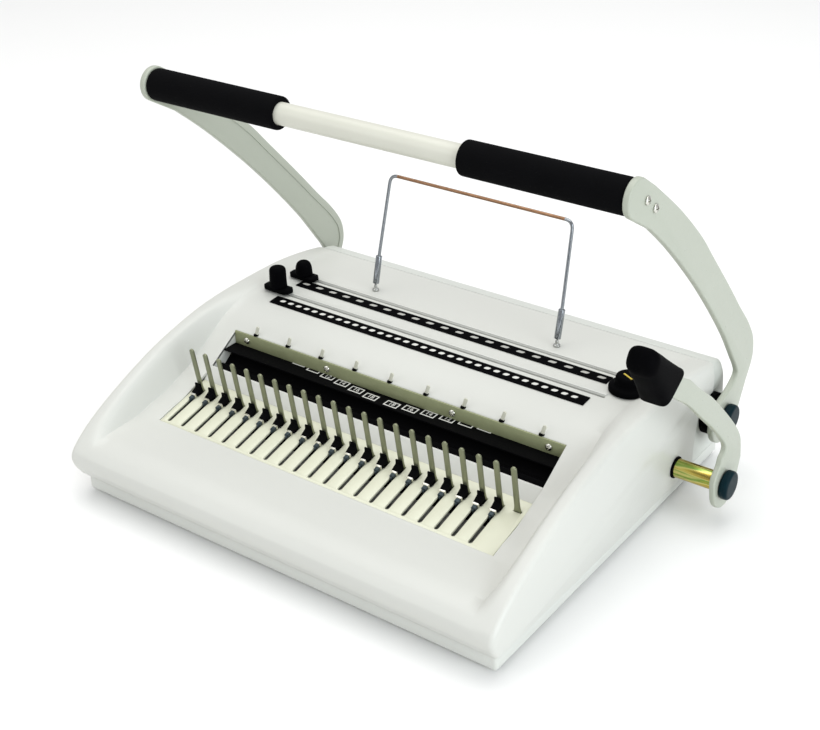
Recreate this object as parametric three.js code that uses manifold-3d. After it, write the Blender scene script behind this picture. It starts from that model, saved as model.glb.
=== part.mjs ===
// A desk machine that punches paper and binds it with plastic combs or wire loops.
// Millimetres, +X along the binding edge, -Y toward the user, +Z up.
// Model places are given from the middle of the casing's front foot, at the underside of the base plate.
// The finished group is then centred on its own footprint and stands on the floor.
import * as THREE from "three";
import { mergeVertices } from "three/addons/utils/BufferGeometryUtils.js";
import Module from "manifold-3d";

const wasm = await Module();
wasm.setup();

// Fits
const seatGap = 0.3;
const runGap = 0.3;
const boreClear = 0.3;
const overrun = 20;

// Overall casing
const casingHalf = 197;
const casingDepth = 334;
const casingHeight = 105;
const casingFoot = 15;
const casingWall = 3;
const sideWall = 5.4;
const cheekThick = 12;
const cheekRound = 4.5;
const casingRearY = 301.6;

// Base plate, feet and chip tray
const baseThick = 2;
const baseWallHeight = 24;
const footHeight = 2.5;
const footRadius = 9;
const footInset = 26;
const trayHalf = 157.5;
const trayFrontY = 168;
const trayHeight = 19.5;
const trayWall = 1.5;

// Comb station
const combPitch = 14.2875;
const pinCount = 22;
const hookCount = 21;
const plateHalf = 156.8;
const plateLength = 54.4;
const plateThick = 2;
const plateFrontY = 48;
const plateFrontZ = 50;
const plateSlope = THREE.MathUtils.degToRad(13.3);
const pinWidth = 3.6;
const pinRoot = 5;
const pinThick = 1.8;
const pinHeight = 39;
const pinSeat = 41.5;
const pinLean = THREE.MathUtils.degToRad(10);
const slotWidth = 2.6;
const openingWidth = 5.6;
const openingStart = 33.2;
const hookHead = 5;
const hookThick = 1.3;
const hookAt = 30;
const hookDepth = 4.4;
const hookTravel = 22.5;
const carriageDrop = 5;
const carriageThick = 2.5;
const carriageDepth = 12;

// Trough and wire closing station
const troughHalf = 157.5;
const troughFrontY = 111.7;
const troughRearY = 142.9;
const troughFrontZ = 70.9;
const troughRearZ = 90.2;
const troughFloorZ = 58;
const troughSlope = THREE.MathUtils.degToRad(37);
const troughPlateStartY = 120;
const troughPlateStartZ = 61;
const troughPlateLength = 22.5;
const troughPlateThick = 1.5;
const closingDepth = 7;
const closingHeight = 6;
const stripThick = 1.5;
const stripHeight = 12.5;
const wirePinCount = 9;
const wirePinPitch = 34;
const wirePinRadius = 1.2;
const wirePinHeight = 7;

// Punching stations
const wirePitch = 8.4667;
const wireCount = 34;
const wireSlotY = 195.7;
const combSlotY = 229;
const paperGap = 2.4;
const throatHalf = 158;
const dieFront = 2.8;
const dieRear = 5;
const dieHeight = 17;
const combPunch = 8;
const combPunchTall = 3;
const wirePunch = 4;
const punchDrop = 10;
const punchBarThick = 6;
const punchBarTall = 14;
const punchTravel = 13;
const slideThick = 5;
const slideTall = 10;
const slideStartY = 212;
const ridgeDepth = 3;
const ridgeRise = 1.2;

// Frame plates
const frameThick = 3;
const frameOuter = 189;

// Main shaft and handle
const shaftInset = 31;
const shaftY = casingDepth - shaftInset;
const shaftZ = 52;
const shaftRadius = 7;
const shaftEndRadius = 5;
const armInner = 203.9;
const armThick = 5;
const armReach = 176.8;
const armRise = 243.3;
const armTipRadius = 14.6;
const armTipFrom = THREE.MathUtils.degToRad(245);
const armTipTo = THREE.MathUtils.degToRad(54);
const handleTubeRadius = 8;
const handleTubeWall = 1.5;
const gripRadius = 12.3;
const gripInner = 79;
const gripOuter = 199;
const collarRadius = 17;
const sleeveRadius = 10;
const capRadius = 11.5;
const capLength = 9.5;
const camThrow = 17;
const camNose = 6;
const camHub = 11;
const camWidth = 7.5;
const camLean = THREE.MathUtils.degToRad(12);

// Comb lever
const leverY = 243.5;
const leverZ = 32.5;
const leverShaftRadius = 4;
const leverSleeveRadius = 6.5;
const leverWasherRadius = 7.8;
const leverArmInner = 229.3;
const leverArmThick = 4.7;
const leverReach = 171.8;
const leverRise = 186.5;
const leverCapLength = 10.5;
const gripInnerX = 213.6;
const gripOuterX = 236.2;
const gripRound = 5;
const leverCrank = 33.6;
const leverCrankWidth = 7;
const leverCrankLean = THREE.MathUtils.degToRad(19);
const rodInner = 163;

// Table fittings
const labelThick = 0.5;
const labelHalf = 150;
const wireLabelStart = 177.5;
const combLabelStart = 212;
const labelDepth = 11.2;
const guideLong = 27;
const guideDepth = 12;
const guidePlate = 3.5;
const guideKnobRadius = 7.3;
const wireGuideX = -155;
const combGuideX = -152;
const wireKnobTall = 18;
const combKnobTall = 12;
const dialX = 167.5;
const dialY = 214;
const dialRadius = 15;
const dialKnobRadius = 10;
const dialTall = 20;
const bailHalf = 88.6;
const bailTopHalf = 86;
const bailY = 244;
const bailHeight = 95.5;
const bailWire = 1.4;
const bailSleeveRadius = 2.3;
const bailSleeveLong = 26;
const bailLean = THREE.MathUtils.degToRad(13);
const bailHinge = 3.2;
const bailBend = 7;

// Outlines as shares of casing depth and casing height, from the nose over the top to the rear
const deckShares = [
  [-0.0153, 0.1457], [-0.0353, 0.2457], [-0.0389, 0.3314], [-0.033, 0.375], [-0.015, 0.424],
  [0.018, 0.455], [0.06, 0.465], [0.12, 0.474], [0.1437, 0.482], [0.178, 0.512], [0.2305, 0.545],
  [0.2994, 0.627], [0.3344, 0.6752], [0.4278, 0.859], [0.479, 0.938], [0.536, 0.983],
  [0.599, 0.995], [0.665, 0.999], [0.7305, 0.9933], [0.8084, 0.9667], [0.903, 0.921],
];
const cheekShares = [
  [-0.0153, 0.1457], [-0.0353, 0.2457], [-0.0389, 0.3314], [-0.0207, 0.413],
  [0.0362, 0.545], [0.1326, 0.698], [0.2542, 0.845], [0.3871, 0.947], [0.4946, 0.99],
  [0.599, 0.998], [0.665, 0.999], [0.7305, 0.9933], [0.8084, 0.9667], [0.903, 0.921],
];
// Rear edge of the casing's sides, stepping round the shaft collar, from the top down
const rearShares = [
  [0.903, 0.921], [0.9085, 0.8], [0.9072, 0.676], [0.8802, 0.669], [0.8563, 0.629],
  [0.8368, 0.552], [0.8293, 0.457], [0.8249, 0.314], [0.8249, 0.1429],
];
const coverShares = [
  [0.9045, 0.92], [0.928, 0.905], [0.952, 0.876], [0.972, 0.8], [0.988, 0.67], [0.998, 0.38], [1, 0.1429],
];
// Arm outline as shares of reach and rise from the shaft, outer edge then inner edge
const armOuterShares = [
  [-0.867, 1.004], [-0.639, 0.884], [-0.43, 0.752],
  [-0.266, 0.637], [-0.0707, 0.485], [0.13, 0.325], [0.243, 0.222], [0.266, 0.169], [0.254, 0.123],
  [0.204, 0.068], [0.156, -0.011],
];
const armInnerShares = [
  [-0.124, -0.02], [-0.11, 0.05], [-0.03, 0.13], [-0.015, 0.2], [-0.047, 0.263], [-0.158, 0.353],
  [-0.352, 0.51], [-0.563, 0.67], [-0.737, 0.796], [-0.889, 0.887],
];
// Lever arm outline as shares of reach and rise from the lever shaft
const leverOuterShares = [
  [-0.455, 0.675], [-0.402, 0.644], [-0.327, 0.583], [-0.189, 0.4826], [-0.0925, 0.3995],
  [-0.0204, 0.3357], [0.0844, 0.2354], [0.1438, 0.1646], [0.1635, 0.111], [0.1717, 0.0509],
  [0.15, -0.03], [0.0646, -0.1196],
];
const leverInnerShares = [
  [-0.0425, -0.0643], [-0.0908, -0.0064], [-0.095, 0.05], [-0.05, 0.1], [-0.0349, 0.13],
  [-0.0052, 0.1753], [-0.1251, 0.3003], [-0.2858, 0.436], [-0.4121, 0.5421], [-0.515, 0.61],
];
const leverGripShares = [
  [-0.455, 0.694], [-0.56, 0.765], [-0.66, 0.83], [-0.73, 0.872], [-0.795, 0.903],
  [-0.858, 0.884], [-0.853, 0.826], [-0.785, 0.764], [-0.72, 0.708], [-0.655, 0.655], [-0.6, 0.622],
];

// Finishes
const finish = (color, roughness, metalness = 0) => new THREE.MeshStandardMaterial(
  { color, roughness, metalness },
);
const ivory = finish("#e6e6df", 0.42);
const coverGrey = finish("#c9cfc8", 0.5);
const baseGrey = finish("#b9bdb5", 0.55);
const cream = finish("#dcdcc6", 0.4);
const armPaint = finish("#d9ddd2", 0.35);
const blackPlastic = finish("#0d0d0f", 0.45);
const foam = finish("#0a0a0b", 0.9);
const rubber = finish("#141414", 0.85);
const capPlastic = finish("#101d24", 0.35);
const steel = finish("#b7b9b6", 0.3, 1);
const brightSteel = finish("#d8d8d6", 0.2, 1);
const platedSteel = finish("#a3a38c", 0.35, 1);
const yellowZinc = finish("#b9a548", 0.25, 1);
const blackSteel = finish("#0c0c0e", 0.5);

// Geometry helpers: a closed geometry becomes a solid that can be joined and cut
function solid(geometry) {
  const bare = geometry.clone();
  bare.deleteAttribute("normal");
  bare.deleteAttribute("uv");
  const merged = mergeVertices(bare, 1e-4);
  const mesh = new wasm.Mesh({
    numProp: 3,
    vertProperties: new Float32Array(merged.attributes.position.array),
    triVerts: new Uint32Array(merged.index.array),
  });
  return new wasm.Manifold(mesh);
}
const join = (first, ...others) => others.reduce((sum, other) => sum.add(other), first);
const cut = (first, ...others) => others.reduce((rest, other) => rest.subtract(other), first);
const axisX = new THREE.Vector3(1, 0, 0);
const axisY = new THREE.Vector3(0, 1, 0);
const axisZ = new THREE.Vector3(0, 0, 1);

// A box between two corners
function block(x0, x1, y0, y1, z0, z1) {
  const box = new THREE.BoxGeometry(x1 - x0, y1 - y0, z1 - z0);
  return solid(box.translate((x0 + x1) / 2, (y0 + y1) / 2, (z0 + z1) / 2));
}

// An outline of [y, z] points swept along X
function sweepX(outline, x0, x1) {
  const shape = new THREE.Shape(outline.map(([y, z]) => new THREE.Vector2(y, z)));
  const geometry = new THREE.ExtrudeGeometry(shape, { depth: x1 - x0, bevelEnabled: false, steps: 1 });
  geometry.applyMatrix4(new THREE.Matrix4().makeBasis(axisY, axisZ, axisX));
  return solid(geometry.translate(x0, 0, 0));
}

// A loft through outlines with equal numbers of points, each at its own place along X
function loftX(slices) {
  const count = slices[0].outline.length;
  const places = slices.flatMap(({ x, outline }) => outline.flatMap(([y, z]) => [x, y, z]));
  const faces = [];
  for (let k = 0; k + 1 < slices.length; k++) {
    for (let i = 0; i < count; i++) {
      const next = (i + 1) % count;
      const [a, b, c, d] = [k * count + i, k * count + next, (k + 1) * count + next, (k + 1) * count + i];
      faces.push(a, b, c, a, c, d);
    }
  }
  const top = (slices.length - 1) * count;
  const flat = slices[0].outline.map(([y, z]) => new THREE.Vector2(y, z));
  const flatEnd = slices.at(-1).outline.map(([y, z]) => new THREE.Vector2(y, z));
  THREE.ShapeUtils.triangulateShape(flat, []).forEach(([a, b, c]) => faces.push(a, c, b));
  THREE.ShapeUtils.triangulateShape(flatEnd, []).forEach(
    ([a, b, c]) => faces.push(top + a, top + b, top + c),
  );
  const geometry = new THREE.BufferGeometry();
  geometry.setAttribute("position", new THREE.Float32BufferAttribute(places, 3));
  geometry.setIndex(faces);
  return solid(geometry);
}

// A counterclockwise outline swept along X, its two edges rounded inside the outline
function softSweepX(outline, x0, x1, round, steps = 2) {
  const turn = Array.from({ length: steps + 1 }, (_, i) => (i * Math.PI) / (steps * 2));
  const inset = (angle) => offset(outline, round * (Math.sin(angle) - 1), true);
  const near = turn.map((angle) => ({ x: x0 + round * (1 - Math.cos(angle)), outline: inset(angle) }));
  const far = turn.map((angle) => ({ x: x1 - round * (1 - Math.cos(angle)), outline: inset(angle) }));
  return loftX([...near, ...far.reverse()]);
}

// An outline of [x, y] points swept up Z
function sweepZ(outline, z0, z1) {
  const shape = new THREE.Shape(outline.map(([x, y]) => new THREE.Vector2(x, y)));
  const geometry = new THREE.ExtrudeGeometry(shape, { depth: z1 - z0, bevelEnabled: false, steps: 1 });
  return solid(geometry.translate(0, 0, z0));
}

// A profile of [radius, height] points turned about Z
const turned = (profile, sides) =>
  new THREE.LatheGeometry(profile.map(([r, h]) => new THREE.Vector2(r, h)), sides)
    .applyMatrix4(new THREE.Matrix4().makeBasis(axisX, axisZ, axisY.clone().negate()));
const turnedZ = (profile, sides = 16) => solid(turned(profile, sides));
// The same about X, with height running along +X
const turnedX = (profile, sides = 16) =>
  solid(turned(profile, sides).applyMatrix4(new THREE.Matrix4().makeBasis(axisY, axisZ, axisX)));
const rod = (x0, x1, radius, sides = 16) => turnedX([[0, x0], [radius, x0], [radius, x1], [0, x1]], sides);
const ringX = (x0, x1, inner, outer, sides = 16) =>
  turnedX([[inner, x0], [outer, x0], [outer, x1], [inner, x1], [inner, x0]], sides);

const smooth = (points, per = 2) =>
  new THREE.SplineCurve(points.map(([y, z]) => new THREE.Vector2(y, z)))
    .getPoints((points.length - 1) * per)
    .map((p) => [p.x, p.y]);
const scaled = (shares, along, up) => shares.map(([a, b]) => [a * along, b * up]);
const rounded = (y, z, radius, from, to, steps = 10) =>
  Array.from({ length: steps + 1 }, (_, i) => {
    const angle = from + ((to - from) * i) / steps;
    return [y + radius * Math.cos(angle), z + radius * Math.sin(angle)];
  });
// The same line moved sideways, to the right of its own direction for a positive distance
function offset(line, distance, closed = false) {
  const last = line.length - 1;
  return line.map(([y, z], i) => {
    const [ya, za] = line[i > 0 ? i - 1 : closed ? last : 0];
    const [yb, zb] = line[i < last ? i + 1 : closed ? 0 : last];
    const length = Math.hypot(yb - ya, zb - za);
    return [y + (distance * (zb - za)) / length, z - (distance * (yb - ya)) / length];
  });
}
const mirrorX = (body) => body.mirror([1, 0, 0]);
const shifted = (body, x, y, z) => body.translate([x, y, z]);

// The model's group and the way each piece joins it
const machine = new THREE.Group();
function geometryOf(body) {
  const mesh = body.getMesh();
  const geometry = new THREE.BufferGeometry();
  geometry.setAttribute("position", new THREE.BufferAttribute(mesh.vertProperties, 3));
  geometry.setIndex(new THREE.BufferAttribute(mesh.triVerts, 1));
  geometry.computeVertexNormals();
  return geometry;
}
function piece(name, body, material, parent = machine) {
  const mesh = new THREE.Mesh(geometryOf(body), material);
  mesh.name = name;
  parent.add(mesh);
  return mesh;
}
function pair(name, body, material, parent = machine) {
  piece(name + "_right", body, material, parent);
  piece(name + "_left", mirrorX(body), material, parent);
}
function frameAt(y, z, tilt = 0, x = 0) {
  const group = new THREE.Group();
  group.position.set(x, y, z);
  group.rotation.x = tilt;
  machine.add(group);
  return group;
}

// Casing profile in real sizes
const deckLine = smooth(scaled(deckShares, casingDepth, casingHeight));
const cheekLine = smooth(scaled(cheekShares, casingDepth, casingHeight));
const rearLine = scaled(rearShares, casingDepth, casingHeight);
function deckHeight(y) {
  const i = deckLine.findIndex(([a], k) => k > 0 && a >= y && deckLine[k - 1][0] <= y);
  const [[ya, za], [yb, zb]] = [deckLine[i - 1], deckLine[i]];
  return za + ((zb - za) * (y - ya)) / (yb - ya);
}
const pinX = (i) => (i - (pinCount - 1) / 2) * combPitch;
const wireX = (i) => (i - (wireCount - 1) / 2) * wirePitch;
const wirePinX = (i) => (i - (wirePinCount - 1) / 2) * wirePinPitch;

// Casing: deck between two rounded cheeks, hollow and open below and behind
function casing() {
  const under = casingFoot - overrun;
  const deckSolid = sweepX(
    [...deckLine, [casingRearY, casingFoot]], -casingHalf + cheekThick / 2, casingHalf - cheekThick / 2,
  );
  const cheekBlank = [
    ...cheekLine, [casingDepth, casingHeight * 0.9], [casingDepth, under], [cheekLine[0][0], under],
  ];
  const cheekClip = [
    [cheekLine[0][0] - overrun, casingFoot],
    [cheekLine[0][0] - overrun, casingHeight + overrun],
    [casingRearY, casingHeight + overrun],
    ...rearLine,
  ];
  const cheek = softSweepX(cheekBlank.toReversed(), casingHalf - cheekThick, casingHalf, cheekRound)
    .intersect(sweepX(cheekClip, casingHalf - overrun, casingHalf + overrun));
  const hollowLine = offset(deckLine, casingWall);
  const hollow = sweepX(
    [
      [hollowLine[0][0], under], ...hollowLine, [casingDepth + overrun, hollowLine.at(-1)[1]],
      [casingDepth + overrun, under],
    ],
    -casingHalf + sideWall,
    casingHalf - sideWall,
  );
  const plateCut = block(
    -plateHalf - runGap, plateHalf + runGap,
    plateFrontY - runGap, troughFrontY + casingWall / 3, plateFrontZ - overrun, casingHeight + overrun,
  );
  const troughCut = block(
    -troughHalf, troughHalf, troughFrontY, troughRearY, troughFloorZ, casingHeight + overrun,
  );
  const slot = (y) =>
    block(
      -throatHalf, throatHalf, y - paperGap / 2, y + paperGap / 2, troughRearZ - overrun,
      casingHeight + overrun,
    );
  const pinHole = (i) =>
    shifted(
      turnedZ([[0, troughRearZ - overrun], [wirePinRadius + runGap, troughRearZ - overrun],
        [wirePinRadius + runGap, casingHeight], [0, casingHeight]], 8),
      wirePinX(i), wirePinY, 0,
    );
  const leverHole = shifted(
    rod(casingHalf - overrun, casingHalf + overrun, leverShaftRadius + boreClear * 2), 0, leverY, leverZ,
  );
  const plateEndY = plateFrontY + plateLength * Math.cos(plateSlope);
  const plateEndZ = plateFrontZ + plateLength * Math.sin(plateSlope);
  const wallHalf = troughHalf + casingWall;
  const wallFoot = plateEndZ - casingWall;
  const wallFront = plateEndY + plateThick * Math.sin(plateSlope) + seatGap;
  const frontWall = sweepX(
    [
      [wallFront, wallFoot], [wallFront, plateEndZ], [troughFrontY - casingWall / 3, troughFrontZ],
      [troughFrontY, troughFrontZ], [troughFrontY, wallFoot],
    ],
    -wallHalf, wallHalf,
  );
  const rearWall = sweepX(
    [
      [troughRearY, troughRearZ - stripHeight - casingWall], [troughRearY, troughRearZ - seatGap],
      [troughRearY + casingWall, deckHeight(troughRearY + casingWall) - seatGap],
      [troughRearY + casingWall, troughRearZ - stripHeight - casingWall],
    ],
    -wallHalf, wallHalf,
  );
  const endWall = sweepX(
    [
      [troughFrontY, troughFloorZ], [troughFrontY, troughFrontZ - seatGap],
      [troughRearY, troughRearZ - seatGap],
      [troughRearY + casingWall, troughRearZ - seatGap], [troughRearY + casingWall, troughFloorZ],
    ],
    troughHalf, wallHalf,
  );
  const ridge = (y) => {
    const front = y + paperGap / 2 + seatGap;
    const rear = front + ridgeDepth;
    return sweepX(
      [
        [front, deckHeight(front) - casingWall / 2], [front, deckHeight(front) + ridgeRise],
        [rear, deckHeight(rear) + ridgeRise], [rear, deckHeight(rear) - casingWall / 2],
      ],
      -throatHalf, throatHalf,
    );
  };
  const shell = cut(join(deckSolid, cheek, mirrorX(cheek)), hollow, plateCut, troughCut);
  const walled = join(
    shell, frontWall, rearWall, endWall, mirrorX(endWall), ridge(wireSlotY), ridge(combSlotY),
  );
  const holes = Array.from({ length: wirePinCount }, (_, i) => pinHole(i));
  return cut(walled, slot(wireSlotY), slot(combSlotY), leverHole, ...holes);
}
const wirePinY = troughRearY + casingWall + wirePinRadius * 2 + runGap;
piece("casing", casing(), ivory);

// Rear cover: closes the casing behind its stepped rear edge
const coverHalf = casingHalf - casingWall;
function rearCover() {
  const back = smooth(scaled(coverShares, casingDepth, casingHeight), 2);
  const edge = rearLine.slice(1).map(([y, z]) => [y + seatGap * 2, z]).reverse();
  const outer = sweepX([...back, ...edge], -coverHalf, coverHalf);
  const innerBack = offset(back, casingWall * 0.8);
  const inner = sweepX(
    [
      [casingDepth / 2, innerBack[0][1] - casingWall], ...innerBack, [innerBack.at(-1)[0], -overrun],
      [casingDepth / 2, -overrun],
    ],
    -casingHalf + sideWall,
    casingHalf - sideWall,
  );
  const bore = shifted(
    rod(-casingHalf - overrun, casingHalf + overrun, shaftRadius + boreClear), 0, shaftY, shaftZ,
  );
  const trayGate = block(
    -trayHalf - runGap * 2, trayHalf + runGap * 2, casingDepth - overrun, casingDepth + overrun,
    -overrun, baseThick + trayHeight + runGap * 4,
  );
  return cut(outer, inner, bore, trayGate);
}
piece("rear_cover", rearCover(), coverGrey);

// Base plate with upstanding walls that fit inside the casing, open at the rear for the chip tray
const baseHalf = casingHalf - sideWall - runGap;
const frameInner = frameOuter - frameThick;
function basePlate() {
  const baseWall = baseHalf - frameOuter - seatGap;
  const outer = block(-baseHalf, baseHalf, 0, casingDepth - casingWall, 0, baseWallHeight);
  const inner = block(
    -baseHalf + baseWall, baseHalf - baseWall, baseThick, casingDepth - casingWall - baseThick,
    baseThick, baseWallHeight + overrun,
  );
  const gate = block(
    -trayHalf - runGap * 2, trayHalf + runGap * 2, casingDepth / 2, casingDepth + overrun,
    baseThick, baseWallHeight + overrun,
  );
  return cut(outer, inner, gate);
}
piece("base_plate", basePlate(), baseGrey);
const footY = [footInset, casingDepth - footInset - casingWall];
[[1, 0], [-1, 0], [1, 1], [-1, 1]].forEach(([side, row], i) => {
  const pad = turnedZ([[0, -footHeight], [footRadius * 0.8, -footHeight], [footRadius, -footHeight / 2],
    [footRadius, -seatGap], [0, -seatGap]], 16);
  const foot = piece("foot_" + (i + 1), pad, rubber);
  foot.position.set(side * (baseHalf - footInset), footY[row], 0);
});

// Chip tray that slides out at the rear
function chipTray() {
  const floor = baseThick + runGap;
  const top = baseThick + trayHeight;
  const rear = casingDepth;
  const outer = block(-trayHalf, trayHalf, trayFrontY, rear, floor, top);
  const inner = block(
    -trayHalf + trayWall, trayHalf - trayWall, trayFrontY + trayWall, rear - trayWall * 2, floor + trayWall,
    top + overrun,
  );
  return cut(outer, inner);
}
piece("chip_tray", chipTray(), blackPlastic);

// Frame plates: inner side frames that carry shafts, dies and slides
const slideOuter = frameInner - runGap;
const dieTop = (y) => Math.min(
  deckHeight(y - paperGap / 2 - dieFront), deckHeight(y + paperGap / 2 + dieRear),
) - casingWall - seatGap;
const dieFoot = Math.min(dieTop(wireSlotY), dieTop(combSlotY)) - dieHeight;
const slideTop = dieFoot - runGap * 4;
const slideFoot = slideTop - slideTall;
const padY = shaftY + camThrow * Math.sin(camLean) - camNose - runGap * 3;
const frameShares = [
  [0.09, 0.4], [0.12, 0.022], [0.945, 0.022], [0.945, 0.62], [0.9, 0.76], [0.785, 0.925], [0.585, 0.925],
  [0.45, 0.8], [0.36, 0.62],
];
function framePlate() {
  const plate = sweepX(scaled(frameShares, casingDepth, casingHeight), frameInner, frameOuter);
  const slideLedge = block(
    slideOuter - slideThick - runGap, frameInner, slideStartY - punchTravel,
    padY - punchTravel - casingWall,
    slideFoot - runGap - casingWall, slideFoot - runGap,
  );
  const cosSlope = Math.cos(plateSlope);
  const sinSlope = Math.sin(plateSlope);
  const ledgeFrom = hookAt - hookTravel - carriageDepth;
  const ledgeTo = hookAt + carriageDepth;
  const below = plateThick + carriageDrop + carriageThick + runGap;
  const slopePoint = (s, t) => [
    plateFrontY + s * cosSlope - t * sinSlope, plateFrontZ + s * sinSlope + t * cosSlope,
  ];
  const hookLedge = sweepX(
    [
      slopePoint(ledgeFrom, -below - casingWall), slopePoint(ledgeTo, -below - casingWall),
      slopePoint(ledgeTo, -below), slopePoint(ledgeFrom, -below),
    ],
    rodInner + leverCrankWidth + runGap * 2, frameInner,
  );
  const mainBore = shifted(
    rod(frameInner - overrun, frameOuter + overrun, shaftRadius + boreClear), 0, shaftY, shaftZ,
  );
  const leverBore = shifted(
    rod(frameInner - overrun, frameOuter + overrun, leverShaftRadius + boreClear), 0, leverY, leverZ,
  );
  return cut(join(plate, slideLedge, hookLedge), mainBore, leverBore);
}
pair("frame_plate", framePlate(), steel);

// Comb deck: plate, pins and hooks in the plate's own sloping frame
const slotStart = hookAt - hookDepth - hookTravel - runGap;
const combDeck = frameAt(plateFrontY, plateFrontZ, plateSlope);
function combPlate() {
  const sheet = block(-plateHalf, plateHalf, 0, plateLength, -plateThick, 0);
  const slots = Array.from({ length: hookCount }, (_, i) =>
    join(
      block(
        pinX(i) - slotWidth / 2, pinX(i) + slotWidth / 2, slotStart, openingStart + seatGap, -overrun,
        overrun,
      ),
      block(
        pinX(i) - openingWidth / 2, pinX(i) + openingWidth / 2, openingStart, pinSeat + pinThick + runGap,
        -overrun, overrun,
      ),
    ));
  const last = pinX(pinCount - 1);
  const lastHole = block(
    last - openingWidth / 2, last + openingWidth / 2, pinSeat - runGap, pinSeat + pinThick + runGap,
    -overrun, overrun,
  );
  return cut(sheet, ...slots, lastHole);
}
piece("comb_plate", combPlate(), cream, combDeck);

// Pin rake: flat fingers with flared roots and round tips on one strip under the plate
function pinRake() {
  const tip = pinWidth / 2;
  const flare = pinRoot;
  const half = [[pinRoot / 2, -plateThick - seatGap - pinThick / 2], [pinRoot / 2, 0], [tip, flare]];
  const cap = rounded(0, pinHeight - tip, tip, 0, Math.PI, 5);
  const outline = [...half, ...cap, ...half.map(([x, z]) => [-x, z]).reverse()];
  const shape = new THREE.Shape(outline.map(([x, z]) => new THREE.Vector2(x, z)));
  const flat = new THREE.ExtrudeGeometry(shape, { depth: pinThick, bevelEnabled: false });
  flat.applyMatrix4(new THREE.Matrix4().makeBasis(axisX, axisZ, axisY.clone().negate()));
  const finger = solid(flat.translate(0, pinThick, 0));
  const lean = THREE.MathUtils.radToDeg(pinLean - plateSlope);
  const bent = finger.trimByPlane([0, 0, 1], 0).rotate([lean, 0, 0]);
  const root = block(
    -pinRoot / 2, pinRoot / 2, 0, pinThick, -plateThick - seatGap - pinThick / 2, pinThick / 2,
  );
  const pin = join(bent, root);
  const stripTop = -plateThick - seatGap;
  const strip = block(
    pinX(0) - pinRoot, pinX(pinCount - 1) + pinRoot, pinSeat - pinThick, pinSeat + pinThick * 4,
    stripTop - pinThick, stripTop,
  );
  return join(strip, ...Array.from({ length: pinCount }, (_, i) => shifted(pin, pinX(i), pinSeat, 0)));
}
piece("pin_rake", pinRake(), brightSteel, combDeck);

// Hook carriage: a bar under the plate with one hook through each slot
const carriageTop = -plateThick - carriageDrop;
function hookCarriage() {
  const half = frameInner - runGap;
  const bar = block(
    -half, half, hookAt - carriageDepth / 2, hookAt + carriageDepth / 2, carriageTop - carriageThick,
    carriageTop,
  );
  const headRise = hookThick + runGap;
  const blade = (x) =>
    join(
      block(
        x - hookThick / 2, x + hookThick / 2, hookAt - hookDepth, hookAt + hookThick,
        carriageTop - carriageThick / 2, headRise,
      ),
      block(
        x - hookHead / 2, x + hookHead / 2, hookAt - hookThick / 2, hookAt + hookThick, runGap, headRise,
      ),
    );
  return join(bar, ...Array.from({ length: hookCount }, (_, i) => blade(pinX(i))));
}
piece("hook_carriage", hookCarriage(), brightSteel, combDeck);

// Hook rods: push bars from the lever cranks to the carriage
const crankTopY = leverY + leverCrank * Math.sin(leverCrankLean);
const crankTopZ = leverZ + leverCrank * Math.cos(leverCrankLean);
const rodEndY = crankTopY - camNose - runGap * 3;
function hookRod() {
  const frontY = plateFrontY + (hookAt + carriageDepth / 2) * Math.cos(plateSlope);
  const barTop = plateFrontZ + hookAt * Math.sin(plateSlope) + (carriageTop - carriageThick) * Math.cos(plateSlope);
  const rodTall = carriageDepth / 2;
  const startY = frontY - carriageDepth;
  const top = barTop - runGap * 2 - carriageThick;
  return sweepX(
    [
      [startY, top - rodTall], [frontY, top - rodTall], [rodEndY - rodTall * 2, crankTopZ - rodTall * 2],
      [rodEndY, crankTopZ - rodTall], [rodEndY, crankTopZ + rodTall],
      [rodEndY - rodTall, crankTopZ + rodTall],
      [rodEndY - rodTall * 2, crankTopZ - rodTall], [frontY, top], [startY, top],
    ],
    rodInner, rodInner + leverCrankWidth,
  );
}
pair("hook_rod", hookRod(), steel);

// Trough: black sloping plate and the closing bar that slides up it
const troughDeck = frameAt(troughPlateStartY, troughPlateStartZ, troughSlope);
const troughSeat = troughHalf - runGap;
function troughPlate() {
  const slope = block(-troughSeat, troughSeat, 0, troughPlateLength, -troughPlateThick, 0);
  const lip = block(-troughSeat, troughSeat, -troughPlateThick, 0, -troughPlateThick, closingHeight / 4);
  return join(slope, lip);
}
piece("trough_plate", troughPlate(), blackSteel, troughDeck);
const closingBar = sweepX(
  [
    [runGap, runGap], [closingDepth, runGap],
    [closingDepth, closingHeight * 0.7], [closingDepth * 0.8, closingHeight],
    [runGap, closingHeight],
  ],
  -troughSeat + runGap * 3, troughSeat - runGap * 3,
);
piece("closing_bar", closingBar, blackSteel, troughDeck);
const jawStrip = block(
  -troughSeat, troughSeat, troughRearY - seatGap - stripThick, troughRearY - seatGap,
  troughRearZ - stripHeight, troughRearZ,
);
piece("jaw_strip", jawStrip, platedSteel);

// Wire pin rail under the deck with nine pins through it
function wirePinRail() {
  const railHalf = wirePinX(wirePinCount - 1) + wirePinRadius * 4;
  const under = deckHeight(wirePinY) - casingWall - wirePinRadius * 2 - seatGap;
  const railDepth = wirePinRadius * 1.5;
  const rail = block(
    -railHalf, railHalf, wirePinY - railDepth, wirePinY + railDepth, under - railDepth * 2, under,
  );
  const top = deckHeight(wirePinY) + wirePinHeight;
  const pin = (i) =>
    shifted(turnedZ([[0, under - wirePinRadius], [wirePinRadius, under - wirePinRadius],
      [wirePinRadius, top - wirePinRadius / 2], [wirePinRadius / 2, top], [0, top]], 8), wirePinX(i),
      wirePinY, 0);
  return join(rail, ...Array.from({ length: wirePinCount }, (_, i) => pin(i)));
}
piece("wire_pin_rail", wirePinRail(), brightSteel);

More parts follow.
